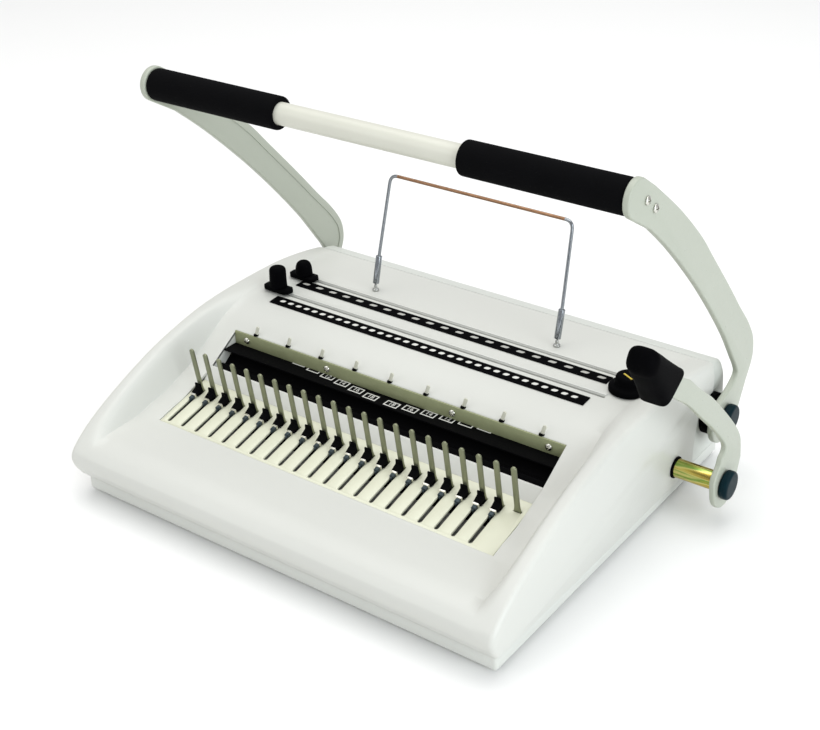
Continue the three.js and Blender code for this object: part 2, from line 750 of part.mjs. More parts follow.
// Scale strips that follow the table's curve
function scaleStrip(start) {
  const line = deckLine.filter(([y]) => y > start && y < start + labelDepth);
  const lower = [[start, deckHeight(start)], ...line, [start + labelDepth, deckHeight(start + labelDepth)]];
  return sweepX(
    [
      ...lower.map(([y, z]) => [y, z + seatGap + labelThick]),
      ...lower.map(([y, z]) => [y, z + seatGap]).reverse(),
    ],
    -labelHalf, labelHalf,
  );
}
piece("wire_scale_strip", scaleStrip(wireLabelStart), blackPlastic);
piece("comb_scale_strip", scaleStrip(combLabelStart), blackPlastic);

// Dies: vertical plates either side of a paper slot, pierced at the punches
function die(y, count, xOf, width, tall) {
  const top = dieTop(y);
  const body = block(
    -slideOuter, slideOuter, y - paperGap / 2 - dieFront, y + paperGap / 2 + dieRear, dieFoot, top,
  );
  const throat = block(
    -throatHalf, throatHalf, y - paperGap / 2, y + paperGap / 2, dieFoot + baseThick,
    casingHeight + overrun,
  );
  const level = top - punchDrop;
  const hole = (i) =>
    block(
      xOf(i) - width / 2 - runGap, xOf(i) + width / 2 + runGap, y - overrun, y + overrun,
      level - tall / 2 - runGap, level + tall / 2 + runGap,
    );
  return cut(body, throat, ...Array.from({ length: count }, (_, i) => hole(i)));
}
piece("wire_die", die(wireSlotY, wireCount, wireX, wirePunch, wirePunch), steel);
const combDieX = (i) => pinX(i) + combPitch / 2;
piece("comb_die", die(combSlotY, hookCount, combDieX, combPunch, combPunchTall), steel);

// Punch bars: one punch for each hole, tips resting in the rear half of the die
function punchBar(y, count, xOf, width, tall) {
  const level = dieTop(y) - punchDrop;
  const front = y + paperGap / 2 + dieRear + punchTravel + runGap * 2;
  const bar = block(
    -slideOuter, slideOuter, front, front + punchBarThick, slideTop + runGap,
    slideTop + runGap + punchBarTall,
  );
  const punch = (i) =>
    block(
      xOf(i) - width / 2, xOf(i) + width / 2, y + paperGap / 2 + runGap * 2, front + runGap,
      level - tall / 2, level + tall / 2,
    );
  return join(bar, ...Array.from({ length: count }, (_, i) => punch(i)));
}
piece("wire_punch_bar", punchBar(wireSlotY, wireCount, wireX, wirePunch, wirePunch), steel);
piece("comb_punch_bar", punchBar(combSlotY, hookCount, combDieX, combPunch, combPunchTall), steel);
pair(
  "punch_slide", block(slideOuter - slideThick, slideOuter, slideStartY, padY, slideFoot, slideTop), steel,
);

// Handle: everything that turns with the main shaft
const handle = frameAt(shaftY, shaftZ);
const armOuter = armInner + armThick;
function mainShaft() {
  const waist = armInner - seatGap;
  const end = armOuter;
  return turnedX([[0, -end], [shaftEndRadius, -end], [shaftEndRadius, -waist], [shaftRadius, -waist],
    [shaftRadius, waist], [shaftEndRadius, waist], [shaftEndRadius, end], [0, end]]);
}
piece("main_shaft", mainShaft(), steel, handle);
function driveCam() {
  const camRight = frameInner - runGap * 2;
  const camLeft = camRight - camWidth;
  const hub = rod(camLeft, camRight, camHub);
  const nose = shifted(
    rod(camLeft, camRight, camNose), 0, camThrow * Math.sin(camLean), camThrow * Math.cos(camLean),
  );
  const web = block(
    camLeft, camRight, -camNose, camNose, 0, camThrow,
  ).rotate([-THREE.MathUtils.radToDeg(camLean), 0, 0]);
  return cut(join(hub, nose, web), rod(camLeft - overrun, camRight + overrun, shaftRadius + boreClear));
}
pair("drive_cam", driveCam(), steel, handle);
pair(
  "shaft_sleeve",
  ringX(armInner - seatGap - camNose / 2, armInner - seatGap, shaftRadius + boreClear, sleeveRadius),
  yellowZinc, handle,
);
function mainArm() {
  const outer = smooth(scaled(armOuterShares, armReach, armRise));
  const inner = smooth(scaled(armInnerShares, armReach, armRise));
  const radius = armReach * 0.124;
  const foot = rounded(0, 0, radius, 0, -Math.PI, 14).slice(1, -1);
  const tip = rounded(-armReach, armRise, armTipRadius, armTipFrom, armTipTo, 12);
  const plate = sweepX([...outer, ...foot, ...inner, ...tip], armInner, armOuter);
  return cut(plate, rod(armInner - overrun, armOuter + overrun, shaftEndRadius + boreClear));
}
pair("main_arm", mainArm(), armPaint, handle);
const capProfile = (start, length, radius) => [
  [0, start], [radius * 0.85, start], [radius, start + length * 0.15], [radius, start + length * 0.6],
  [radius * 0.9, start + length * 0.85], [radius * 0.7, start + length], [0, start + length],
];
pair("shaft_cap", turnedX(capProfile(armOuter + seatGap, capLength, capRadius)), capPlastic, handle);

// Handle tube with a tab at each end for the two arm screws
function handleTube() {
  const end = armInner - seatGap;
  const tube = rod(-end, end, handleTubeRadius, 20);
  const tabLong = armReach * 0.15;
  const tab = join(
    rod(end - armThick * 0.8, end, handleTubeRadius * 1.25),
    block(end - armThick * 0.8, end, 0, tabLong, -handleTubeRadius, handleTubeRadius).rotate(
      [-THREE.MathUtils.radToDeg(camLean * 3), 0, 0],
    ),
  );
  const hollow = rod(-end - overrun, end + overrun, handleTubeRadius - handleTubeWall, 20);
  return shifted(cut(join(tube, tab, mirrorX(tab)), hollow), 0, -armReach, armRise);
}
piece("handle_tube", handleTube(), armPaint, handle);
const gripBore = handleTubeRadius + boreClear;
const gripBody = turnedX(
  [
    [gripBore, gripInner], [gripRadius * 0.78, gripInner],
    [gripRadius * 0.93, gripInner + gripRadius * 0.15],
    [gripRadius, gripInner + gripRadius * 0.5], [gripRadius, gripOuter], [gripBore, gripOuter],
    [gripBore, gripInner],
  ],
  20,
);
pair("handle_grip", shifted(gripBody, 0, -armReach, armRise), foam, handle);
pair(
  "shaft_collar",
  ringX(coverHalf + seatGap, armInner - camNose / 2 - seatGap * 2, shaftRadius + boreClear, collarRadius),
  blackPlastic, handle,
);

// Comb lever: shaft with two cranks inside, arm and grip outside on the right
const lever = frameAt(leverY, leverZ);
const leverArmOuter = leverArmInner + leverArmThick;
function leverShaft() {
  const crank = (x0) => {
    const x1 = x0 + leverCrankWidth;
    const lean = leverCrankLean;
    const hub = rod(x0, x1, leverShaftRadius * 2, 12);
    const nose = shifted(
      rod(x0, x1, camNose, 12), 0, leverCrank * Math.sin(lean), leverCrank * Math.cos(lean),
    );
    const web = block(
      x0, x1, -leverShaftRadius, leverShaftRadius, 0, leverCrank,
    ).rotate([-THREE.MathUtils.radToDeg(lean), 0, 0]);
    return join(hub, nose, web);
  };
  const shaft = rod(-frameOuter, leverArmOuter, leverShaftRadius);
  return join(shaft, crank(rodInner), crank(-rodInner - leverCrankWidth));
}
piece("lever_shaft", leverShaft(), steel, lever);
const washerX = casingHalf + seatGap;
const sleeveStart = washerX + boreClear * 5;
const leverBore = leverShaftRadius + boreClear;
piece(
  "lever_washer", ringX(washerX, sleeveStart - seatGap, leverBore, leverWasherRadius), blackPlastic, lever,
);
piece(
  "lever_sleeve", ringX(sleeveStart, leverArmInner - seatGap, leverBore, leverSleeveRadius), yellowZinc,
  lever,
);
const tangLong = leverReach * 0.2;
function tang(clear) {
  const tilt = -Math.atan2(leverRise * 0.3, leverReach * 0.46);
  const tall = leverReach * 0.06;
  const body = block(
    leverArmInner - clear, leverArmOuter + clear, -tangLong - clear, tangLong / 2, -tall - clear,
    tall + clear,
  );
  return shifted(
    body.rotate([THREE.MathUtils.radToDeg(tilt), 0, 0]), 0, -leverReach * 0.53, leverRise * 0.665,
  );
}
function leverArm() {
  const outer = smooth(scaled(leverOuterShares, leverReach, leverRise));
  const inner = smooth(scaled(leverInnerShares, leverReach, leverRise));
  const plate = sweepX([...outer, ...inner], leverArmInner, leverArmOuter);
  return cut(join(plate, tang(0)), rod(leverArmInner - overrun, leverArmOuter + overrun, leverBore));
}
piece("lever_arm", leverArm(), armPaint, lever);
const gripBlank = softSweepX(
  smooth(scaled(leverGripShares, leverReach, leverRise), 2), gripInnerX, gripOuterX, gripRound,
);
piece("lever_grip", cut(gripBlank, tang(boreClear)), blackPlastic, lever);
piece(
  "lever_cap", turnedX(capProfile(leverArmOuter + seatGap, leverCapLength, capRadius)), capPlastic, lever,
);

// Edge guides with their lock knobs
function edgeGuide(label, x, y, knobTall, domed) {
  const top = Math.max(deckHeight(y - guideDepth / 2), deckHeight(y + guideDepth / 2)) + ridgeRise + runGap;
  const group = new THREE.Group();
  group.position.set(x, y, top);
  machine.add(group);
  const corner = guideDepth / 4;
  const outline = [
    [-guideLong / 2, -guideDepth / 2 + corner], [-guideLong / 2 + corner, -guideDepth / 2],
    [guideLong / 2 - corner, -guideDepth / 2], [guideLong / 2, -guideDepth / 2 + corner],
    [guideLong / 2, guideDepth / 2 - corner], [guideLong / 2 - corner, guideDepth / 2],
    [-guideLong / 2 + corner, guideDepth / 2], [-guideLong / 2, guideDepth / 2 - corner],
  ];
  piece(label + "_guide_slide", sweepZ(outline, 0, guidePlate), blackPlastic, group);
  const foot = guidePlate + seatGap;
  const roundTop = domed ? 0.5 : 0.15;
  const profile = [
    [0, foot], [guideKnobRadius * 1.05, foot], [guideKnobRadius, foot + knobTall * 0.2],
    [guideKnobRadius * 0.97, foot + knobTall * (1 - roundTop)],
    [guideKnobRadius * 0.82, foot + knobTall * (1 - roundTop / 3)],
    [guideKnobRadius * 0.5, foot + knobTall], [0, foot + knobTall],
  ];
  piece(label + "_guide_knob", turnedZ(profile), blackPlastic, group);
}
edgeGuide("wire", wireGuideX, wireSlotY, wireKnobTall, false);
edgeGuide("comb", combGuideX, combSlotY - ridgeDepth, combKnobTall, true);

// Selector dial with a round base and a narrower knob
const dialSeat = Math.max(
  deckHeight(dialY - dialRadius), deckHeight(dialY + dialRadius), deckHeight(dialY),
) + runGap;
const dialBody = turnedZ(
  [
    [0, 0], [dialRadius, 0], [dialRadius, dialTall * 0.2], [dialRadius * 0.9, dialTall * 0.3],
    [dialKnobRadius * 1.1, dialTall * 0.35],
    [dialKnobRadius, dialTall * 0.45], [dialKnobRadius, dialTall * 0.9],
    [dialKnobRadius * 0.85, dialTall], [0, dialTall],
  ],
  20,
);
piece("selector_dial", dialBody, blackPlastic).position.set(dialX, dialY, dialSeat);

// Wire bail: bent wire in two sleeves, each held by a socket on the table
const bailZ = deckHeight(bailY) + ridgeRise + bailHinge + runGap;
const bail = frameAt(bailY, bailZ, -bailLean);
function wireBail() {
  const start = bailSleeveLong / 4;
  const at = (x, z) => new THREE.Vector3(x, 0, z);
  const path = new THREE.CurvePath();
  const lean = (bailHalf - bailTopHalf) / bailHeight;
  const cornerLow = at(bailTopHalf + lean * bailBend, bailHeight - bailBend);
  const cornerIn = at(bailTopHalf - bailBend, bailHeight);
  const flip = (v) => at(-v.x, v.z);
  const bend = at(bailHalf, bailSleeveLong + bailWire);
  path.add(new THREE.LineCurve3(at(bailHalf, start), bend));
  path.add(new THREE.LineCurve3(bend, cornerLow));
  path.add(new THREE.QuadraticBezierCurve3(cornerLow, at(bailTopHalf, bailHeight), cornerIn));
  path.add(new THREE.LineCurve3(cornerIn, flip(cornerIn)));
  path.add(new THREE.QuadraticBezierCurve3(flip(cornerIn), at(-bailTopHalf, bailHeight), flip(cornerLow)));
  path.add(new THREE.LineCurve3(flip(cornerLow), flip(bend)));
  path.add(new THREE.LineCurve3(flip(bend), at(-bailHalf, start)));
  const section = new THREE.Shape(rounded(0, 0, bailWire, 0, Math.PI * 2, 6).slice(0, -1).map(([a, b]) =>
    new THREE.Vector2(a, b))
  );
  return solid(new THREE.ExtrudeGeometry(section, { steps: 46, extrudePath: path, bevelEnabled: false }));
}
piece("wire_bail", wireBail(), brightSteel, bail);
const sleeveFoot = bailWire + seatGap * 2;
const sleeveBody = turnedZ(
  [
    [0, sleeveFoot], [bailSleeveRadius, sleeveFoot], [bailSleeveRadius, bailSleeveLong],
    [bailWire + boreClear, bailSleeveLong],
    [bailWire + boreClear, bailSleeveLong / 4 - boreClear], [0, bailSleeveLong / 4 - boreClear],
  ],
  12,
);
piece("bail_sleeve_right", shifted(sleeveBody, bailHalf, 0, 0), brightSteel, bail);
piece("bail_sleeve_left", shifted(sleeveBody, -bailHalf, 0, 0), brightSteel, bail);
const socketBody = turnedZ(
  [
    [0, deckHeight(bailY) + seatGap], [bailSleeveRadius * 1.6, deckHeight(bailY) + seatGap],
    [bailSleeveRadius * 1.5, bailZ - bailSleeveRadius * 1.25], [bailWire, bailZ - bailSleeveRadius * 1.1],
    [bailWire, bailZ], [bailWire * 0.7, bailZ + bailWire * 0.7], [0, bailZ + bailWire],
  ],
  12,
);
["right", "left"].forEach((side, i) => {
  piece("bail_socket_" + side, socketBody, steel).position.set(bailHalf * (1 - 2 * i), bailY, 0);
});

// The origin is the middle of the footprint, on the floor
const bounds = new THREE.Box3().setFromObject(machine);
const centre = bounds.getCenter(new THREE.Vector3());
machine.position.set(-centre.x, -centre.y, -bounds.min.z);
export default machine;
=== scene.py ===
"""A desk machine that punches paper and binds it with combs or wire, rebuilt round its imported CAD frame.

Sizes are millimetres in the maker's own drawing, with +X along the binding edge, -Y toward the user and +Z up.
TO_FRAME turns them into metres in the frame's place.
"""

import math

import bmesh
import bpy
from mathutils import Matrix, Vector


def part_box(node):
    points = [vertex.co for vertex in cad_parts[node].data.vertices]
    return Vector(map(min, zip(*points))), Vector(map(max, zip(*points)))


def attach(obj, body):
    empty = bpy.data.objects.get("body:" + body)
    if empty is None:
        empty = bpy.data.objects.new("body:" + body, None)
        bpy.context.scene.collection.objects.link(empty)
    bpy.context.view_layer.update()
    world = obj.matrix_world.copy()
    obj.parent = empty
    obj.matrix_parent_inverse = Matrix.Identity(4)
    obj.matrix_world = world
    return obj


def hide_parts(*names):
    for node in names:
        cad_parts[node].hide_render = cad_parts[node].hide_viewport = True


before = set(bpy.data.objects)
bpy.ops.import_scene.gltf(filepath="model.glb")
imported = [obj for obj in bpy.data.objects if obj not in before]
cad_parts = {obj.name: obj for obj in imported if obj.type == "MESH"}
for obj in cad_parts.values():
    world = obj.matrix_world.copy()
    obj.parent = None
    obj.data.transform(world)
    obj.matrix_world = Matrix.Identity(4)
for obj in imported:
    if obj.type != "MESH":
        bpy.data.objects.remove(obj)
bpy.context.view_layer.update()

bl_info = {
    "name": "Comb and wire binding machine",
    "version": (1, 0, 0),
    "blender": (4, 5, 0),
    "location": "3D View > Sidebar > Binder",
    "description": "Builds the binding machine's pieces round its CAD frame",
    "category": "Object",
}

# Drawing to frame
MM = 0.001
SEAT_GAP = 0.3
TO_FRAME = Matrix.Scale(MM, 4) @ Matrix.Translation((-13.05, -168.42, 2.5))

# Camera worked out from the photograph
CAMERA_PLACE = (0.56186, -0.78368, 0.63258)
CAMERA_TURN = 36.194
CAMERA_TILT = 28.867
CAMERA_ROLL = -0.810
CAMERA_LENS = 62.457
SENSOR_WIDTH = 36.0

# Casing
CASING_DEPTH = 334
CASING_HEIGHT = 105
CASING_HALF = 197
COVER_HALF = 194
DECK_SHARES = [
    (-0.0153, 0.1457), (-0.0353, 0.2457), (-0.0389, 0.3314), (-0.033, 0.375), (-0.015, 0.424),
    (0.018, 0.455), (0.06, 0.465), (0.12, 0.474), (0.1437, 0.482), (0.178, 0.512), (0.2305, 0.545),
    (0.2994, 0.627), (0.3344, 0.6752), (0.4278, 0.859), (0.479, 0.938), (0.536, 0.983),
    (0.599, 0.995), (0.665, 0.999), (0.7305, 0.9933), (0.8084, 0.9667), (0.903, 0.921),
]
CHEEK_SHARES = [
    (-0.0153, 0.1457), (-0.0353, 0.2457), (-0.0389, 0.3314), (-0.0207, 0.413),
    (0.0362, 0.545), (0.1326, 0.698), (0.2542, 0.848), (0.3871, 0.955), (0.4946, 1.0),
    (0.599, 1.012), (0.665, 1.014), (0.7305, 1.009), (0.8084, 0.983), (0.88, 0.944), (0.903, 0.921),
]
REAR_SHARES = [
    (0.903, 0.921), (0.9085, 0.8), (0.9072, 0.676), (0.8802, 0.669), (0.8563, 0.629),
    (0.8368, 0.552), (0.8293, 0.457), (0.8249, 0.314), (0.8249, 0.1429),
]
COVER_SHARES = [
    (0.9045, 0.92), (0.928, 0.905), (0.952, 0.876), (0.972, 0.8), (0.988, 0.67), (0.998, 0.38), (1, 0.1429),
]
LINE_STEPS = 8
NOSE_POINTS = 2
ROW_GAP = 0.8
DECK_COLUMNS = (80.0, 168.0)
CHEEK_STEPS = (0, 0.03, 0.08, 0.15, 0.24, 0.34, 0.45, 0.57, 0.7, 0.84, 1)
CHEEK_EASE = 2.2
CHEEK_TOP = 4.5
EDGE_STEPS = 7
PLATE_FRONT = 47.7
PLATE_REAR = 101.4
TROUGH_HALF = 157.3
TROUGH_FRONT = 111.7
TROUGH_REAR = 142.9
TROUGH_FLOOR = 58
TROUGH_SIDE = 160.3
TROUGH_STEP = [(PLATE_REAR, 55), (101.0, 62.5), (110.6, 70.4), (TROUGH_FRONT, 70.6), (TROUGH_FRONT, 55)]
TROUGH_BACK = [(TROUGH_REAR, 78.6), (TROUGH_REAR, 89.9), (145.6, 91.2), (145.6, 78.6)]
TROUGH_END = [
    (TROUGH_FRONT, TROUGH_FLOOR), (TROUGH_FRONT, 70.2), (TROUGH_REAR, 89.6), (145.9, 89.6), (145.9, TROUGH_FLOOR),
]
THROAT_HALF = 158
WIRE_SLOT = 195.7
COMB_SLOT = 229
PAPER_GAP = 2.4
RIDGE_START = 0.3
RIDGE_END = 3.3
RIDGE_RISE = 1.2
RIDGE_ROOT = 1.5
GATE_TOP = 22.7
GATE_HALF = 158.1
COVER_BORE = 7.4
COVER_ROUND = 3.0

# Base strip and feet
LIP_PROUD = 0.8
LIP_INSET = 0.5
LIP_LOW = 1.2
LIP_TOP = 11.5
FOOT_PROFILE = [(0, -2.5), (7.2, -2.5), (9, -1.25), (9, -0.3), (0, -0.3)]

# Comb deck: start, height and slope of its frame, then places and sizes in that frame
PLATE_PLACE = (48, 50, 13.3)
COMB_PITCH = 14.2875
PIN_COUNT = 22
HOOK_COUNT = 21
PLATE_HALF = 156.8
PLATE_LENGTH = 54.4
PLATE_THICK = 2
SLOT_START = 2.8
SLOT_WIDTH = 3.6
OPENING_START = 36
OPENING_END = 44.6
OPENING_WIDTH = 6.6
PIN_SEAT = 42.6
PIN_HEIGHT = 41
PIN_THICK = 1.8
PIN_TIP = 2.1
PIN_EDGE = [(2.8, -3.0), (2.8, 0.0), (2.65, 1.2), (2.3, 3.4), (2.1, 5.4)]
PIN_LEAN = -3.3
RAKE_FRONT = -1.8
RAKE_REAR = 7.2
HOOK_AT = 33.4
HOOK_THICK = 1.3
HOOK_HEAD_HALF = 2.6
HOOK_HEAD_TALL = 3.6
HOOK_BACK_TALL = 8.6
HOOK_STEM = [(-4.4, -8), (-4.4, 0.4), (-3.6, 1.2), (-2.4, 1.6), (1.3, 1.6), (1.3, -8)]
HOOK_BACK_HALF = 2.8
CARRIAGE_HALF = 185.7

# Pan head screws: profile in shares of the head's radius
SCREW_PROFILE = [(0, 0), (1, 0), (1, 0.35), (0.55, 0.62), (0, 0.7)]

# Trough: jaw strip screws, wire pins and the numbered shelf
JAW_SCREW_PLACE = (141.1, 84.6)
JAW_SCREWS = (("outer", 144), ("inner", 60))
WIRE_PIN_COUNT = 9
WIRE_PIN_Y = 143.8
WIRE_PIN_PITCH = 34
WIRE_PIN_LEAN = 0.3
WIRE_PIN_FLAG = [(-1.3, -6), (1.3, -6), (1.5, 0), (1.8, 7.4), (0.6, 8.8), (-1.3, 8.6), (-1.5, 0)]
# Black ring at each wire pin's foot: painted shadow
WIRE_PIN_SHADOW_RING = [(0, -0.1), (2.3, -0.1), (2.2, 0.5), (1.7, 1.3), (0, 1.5)]
RAIL_HALF = 140.8
NUMBER_FRONT = 128.9
NUMBER_REAR = 140.9
NUMBER_TOP = 79.3
NUMBER_DEPTH = 7.4
NUMBER_HALF = 6.1
NUMBER_FIRST = 10.1
NUMBER_PITCH = 15.75
NUMBER_STEP = 2.15
NUMBER_SIZE = 6.0

# Marks on the two scale strips
WIRE_PITCH = 8.4667
WIRE_MARK_COUNT = 34
WIRE_MARK_FIRST = -139.7
WIRE_STRIP_FRONT = 177.5
COMB_MARK_FIRST = -142.875
COMB_STRIP_FRONT = 212
STRIP_TOP = 0.8
MARK_THICK = 0.12
WIRE_MARK = [(-3.0, 4.3), (1.5, 4.3), (2.9, 7.4), (-1.6, 7.4)]
COMB_MARK = [(-3.8, 4.6), (2.4, 4.6), (3.8, 7.6), (-2.4, 7.6)]

# Handle, in a frame on its shaft
SHAFT_PLACE = (303, 52, 0)
ARM_REACH = 176.8
ARM_RISE = 243.3
ARM_INNER = 203.9
ARM_OUTER = 208.9
ARM_STEPS = 10
ARM_TIP_RADIUS = 13.6
ARM_TIP_FROM = 239
ARM_TIP_TO = 57
ARM_OUTER_SHARES = [
    (-0.867, 1.004), (-0.639, 0.88), (-0.43, 0.748), (-0.3, 0.65), (-0.1, 0.497), (0.05, 0.378),
    (0.152, 0.3), (0.225, 0.228), (0.248, 0.172), (0.24, 0.125), (0.195, 0.066), (0.145, -0.011),
]
ARM_INNER_SHARES = [
    (-0.124, -0.02), (-0.118, 0.03), (-0.075, 0.068), (-0.005, 0.085), (0.055, 0.103), (0.093, 0.128),
    (0.074, 0.16), (0.025, 0.208), (-0.02, 0.252), (-0.1, 0.327), (-0.246, 0.448), (-0.414, 0.577),
    (-0.574, 0.69), (-0.737, 0.797), (-0.889, 0.887),
]
ARM_FOOT_RADIUS = 21.92
ARM_BORE = 5.3
ARM_RIM = 6.5
ARM_RECESS = 0.8
ARM_SCREWS = (137.3, 290.6)
ARM_SCREW_STEP = (0, 12.2, -9.3)
SHAFT_BORE = 7.3
COLLAR_RING = (17, 194.3, 200.3)
SLEEVE_RING = (10, 200.6, 203.6)
CAP_LENGTH = 7.5
CAP_RADIUS = 11.5
CAP_PROFILE = [(0, 0), (0.9, 0), (1, 0.15), (1, 0.75), (0.93, 0.93), (0.8, 1), (0, 1)]
FOAM_PROFILE = [(8.6, 80), (11.9, 80), (12.4, 81), (12.5, 201), (12.2, 203), (11.4, 203.5), (8.6, 203.5), (8.6, 80)]
TUBE_INNER = 6.5
TUBE_RADIUS = 8.4
FLANGE_RADIUS = 10
FLANGE_THICK = 4
TAB_OUTLINE = [(4, -8), (26.5, -8), (26.5, 8), (4, 8)]
TAB_TURN = -36

# Lever, in a frame on its shaft
LEVER_PLACE = (243.5, 32.5, 0)
LEVER_REACH = 171.8
LEVER_RISE = 186.5
LEVER_INNER = 229.3
LEVER_OUTER = 234
LEVER_OUTER_SHARES = [
    (-0.62, 0.782), (-0.53, 0.722), (-0.455, 0.675), (-0.402, 0.644), (-0.327, 0.583), (-0.189, 0.4826),
    (-0.0925, 0.3995), (-0.0204, 0.3357), (0.0844, 0.2354), (0.1438, 0.1646), (0.1635, 0.111),
    (0.1717, 0.0509),
]
LEVER_INNER_SHARES = [
    (-0.1, 0.035), (-0.088, 0.067), (-0.05, 0.1), (-0.0349, 0.13),
    (-0.0052, 0.1753), (-0.1251, 0.3003), (-0.2858, 0.436), (-0.4121, 0.5421), (-0.515, 0.61),
    (-0.6, 0.665), (-0.68, 0.715),
]
LEVER_SPLAY = 3.2
GRIP_UPPER_SHARES = [(-0.483, 0.725), (-0.543, 0.768), (-0.6, 0.81), (-0.66, 0.854), (-0.71, 0.888)]
GRIP_LOWER_SHARES = [(-0.637, 0.632), (-0.669, 0.672), (-0.7, 0.714), (-0.734, 0.757), (-0.765, 0.798)]
GRIP_INNER = 213.6
GRIP_OUTER = 236.2
GRIP_TIP = 10
GRIP_DOME = 9
GRIP_SQUARE = (0.34, 0.68)
LEVER_FOOT = (4.5, -2, 20)
LEVER_BORE = 4.3
LEVER_SLEEVE = 7.6
LEVER_CAP_LENGTH = 7.0

# Guides and dial
KNOB_RADIUS = 7.3
KNOBS = (("wire", 18, 0.15), ("comb", 12, 0.5))
DIAL_PROFILE = [
    (0, 0), (15, 0), (15, 3.4), (13.5, 4.8), (10.8, 5.6), (10.2, 7), (10, 11.2), (8.8, 12.6), (0, 12.6),
]
DIAL_MARK_PLACE = (0.4, -2.8)
DIAL_MARK_TURN = -27.6
DIAL_MARK_BOX = (-5.1, 5.1, -0.75, 0.75, 12.55, 12.75)

# Bail
BAIL_HALF = 88.6
BAIL_TOP_HALF = 86.2
BAIL_Y = 244
BAIL_HEIGHT = 95.5
BAIL_START = 6.5
BAIL_STRAIGHT = 27.4
BAIL_BEND = 7
BAIL_LEAN = -13
BAIL_HINGE_RISE = 4.7
BAIL_SLEEVE = [(0, 2), (2.7, 2), (2.7, 26), (1.7, 26), (1.7, 6.2), (0, 6.2)]
COPPER_HALF = 71

# Studio: place in metres, size, power in watts and tint of each light
FLOOR_HALF = 6
SKY_TINT = (0.97, 0.98, 1.0, 1)
SKY_STRENGTH = 0.6
LIGHTS = {
    "overhead": ((-0.2, 0.3, 2.4), 2.6, 43, (1.0, 0.99, 0.97)),
    "front": ((-1.3, -1.9, 1.5), 1.4, 9, (1.0, 0.985, 0.96)),
    "side": ((2.2, -0.7, 0.9), 1.6, 33, (0.9, 0.96, 1.0)),
}


def linear(code):
    """An sRGB hex colour as linear red, green and blue."""
    parts = [int(code[i:i + 2], 16) / 255 for i in (1, 3, 5)]
    return tuple(c / 12.92 if c <= 0.04045 else ((c + 0.055) / 1.055) ** 2.4 for c in parts)


def length_property(name, text, default):
    """A length in millimetres as a scene property in metres."""
    return bpy.props.FloatProperty(name=name, description=text, default=default * MM, min=0, unit="LENGTH")


def colour_property(name, text, code):
    """A colour picked from an sRGB hex value."""
    return bpy.props.FloatVectorProperty(
        name=name, description=text, default=linear(code), min=0, max=1, size=3, subtype="COLOR")


class BinderSizes(bpy.types.PropertyGroup):
    """Roundings and small sizes of the finished pieces."""
    casing_round: length_property("Casing edge", "Rounding along the outer edge of the casing", 4.5)
    casing_wall: length_property("Casing wall", "Thickness of the moulded wall", 2.6)
    cheek_foot: length_property("Cheek foot", "Place across the casing where the cheek starts to rise", 177)
    arm_round: length_property("Arm edge", "Rounding along the edges of both arms", 1.3)
    plate_edge: length_property("Sheet edge", "Rounding along the edges of sheet metal pieces", 0.25)
    screw_radius: length_property("Screw head", "Radius of the cross head screws", 3.2)
    wire_radius: length_property("Bail wire", "Radius of the bail's wire", 1.4)


class BinderColours(bpy.types.PropertyGroup):
    """Colours of the machine's finishes."""
    casing: colour_property("Casing", "Warm white of the moulded casing", "#CFD0CA")
    cover: colour_property("Rear cover", "Grey white of the rear cover", "#CFD2CC")
    foot_strip: colour_property("Foot strip", "Grey white of the base strip", "#D8DAD4")
    comb_plate: colour_property("Comb plate", "Cream paint of the comb plate", "#D9DAC4")
    arms: colour_property("Arms", "Pale grey green paint of the arms", "#ABB0A2")
    plastic: colour_property("Black plastic", "Knobs, dial, lever grip and collars", "#040405")
    foam: colour_property("Foam", "Handle grips", "#040405")
    caps: colour_property("Shaft caps", "Dark blue black caps", "#071C22")
    ink: colour_property("Pale ink", "Printed marks and numbers", "#D8D8D2")


# Materials


def add_node(tree, kind, settings=None, links=None):
    """Adds a node, sets its fields or sockets by name, and links its inputs."""
    node = tree.nodes.new(kind)
    for key, value in (settings or {}).items():
        if key in node.inputs:
            node.inputs[key].default_value = value
        else:
            setattr(node, key, value)
    for key, source in (links or {}).items():
        tree.links.new(source, node.inputs[key])
    return node


def new_material(name):
    """An empty node material and its tree, shader and object coordinates."""
    material = bpy.data.materials.new(name)
    material.use_nodes = True
    tree = material.node_tree
    tree.nodes.clear()
    shader = add_node(tree, "ShaderNodeBsdfPrincipled")
    add_node(tree, "ShaderNodeOutputMaterial", links={"Surface": shader.outputs["BSDF"]})
    place = add_node(tree, "ShaderNodeTexCoord").outputs["Object"]
    return material, tree, shader, place


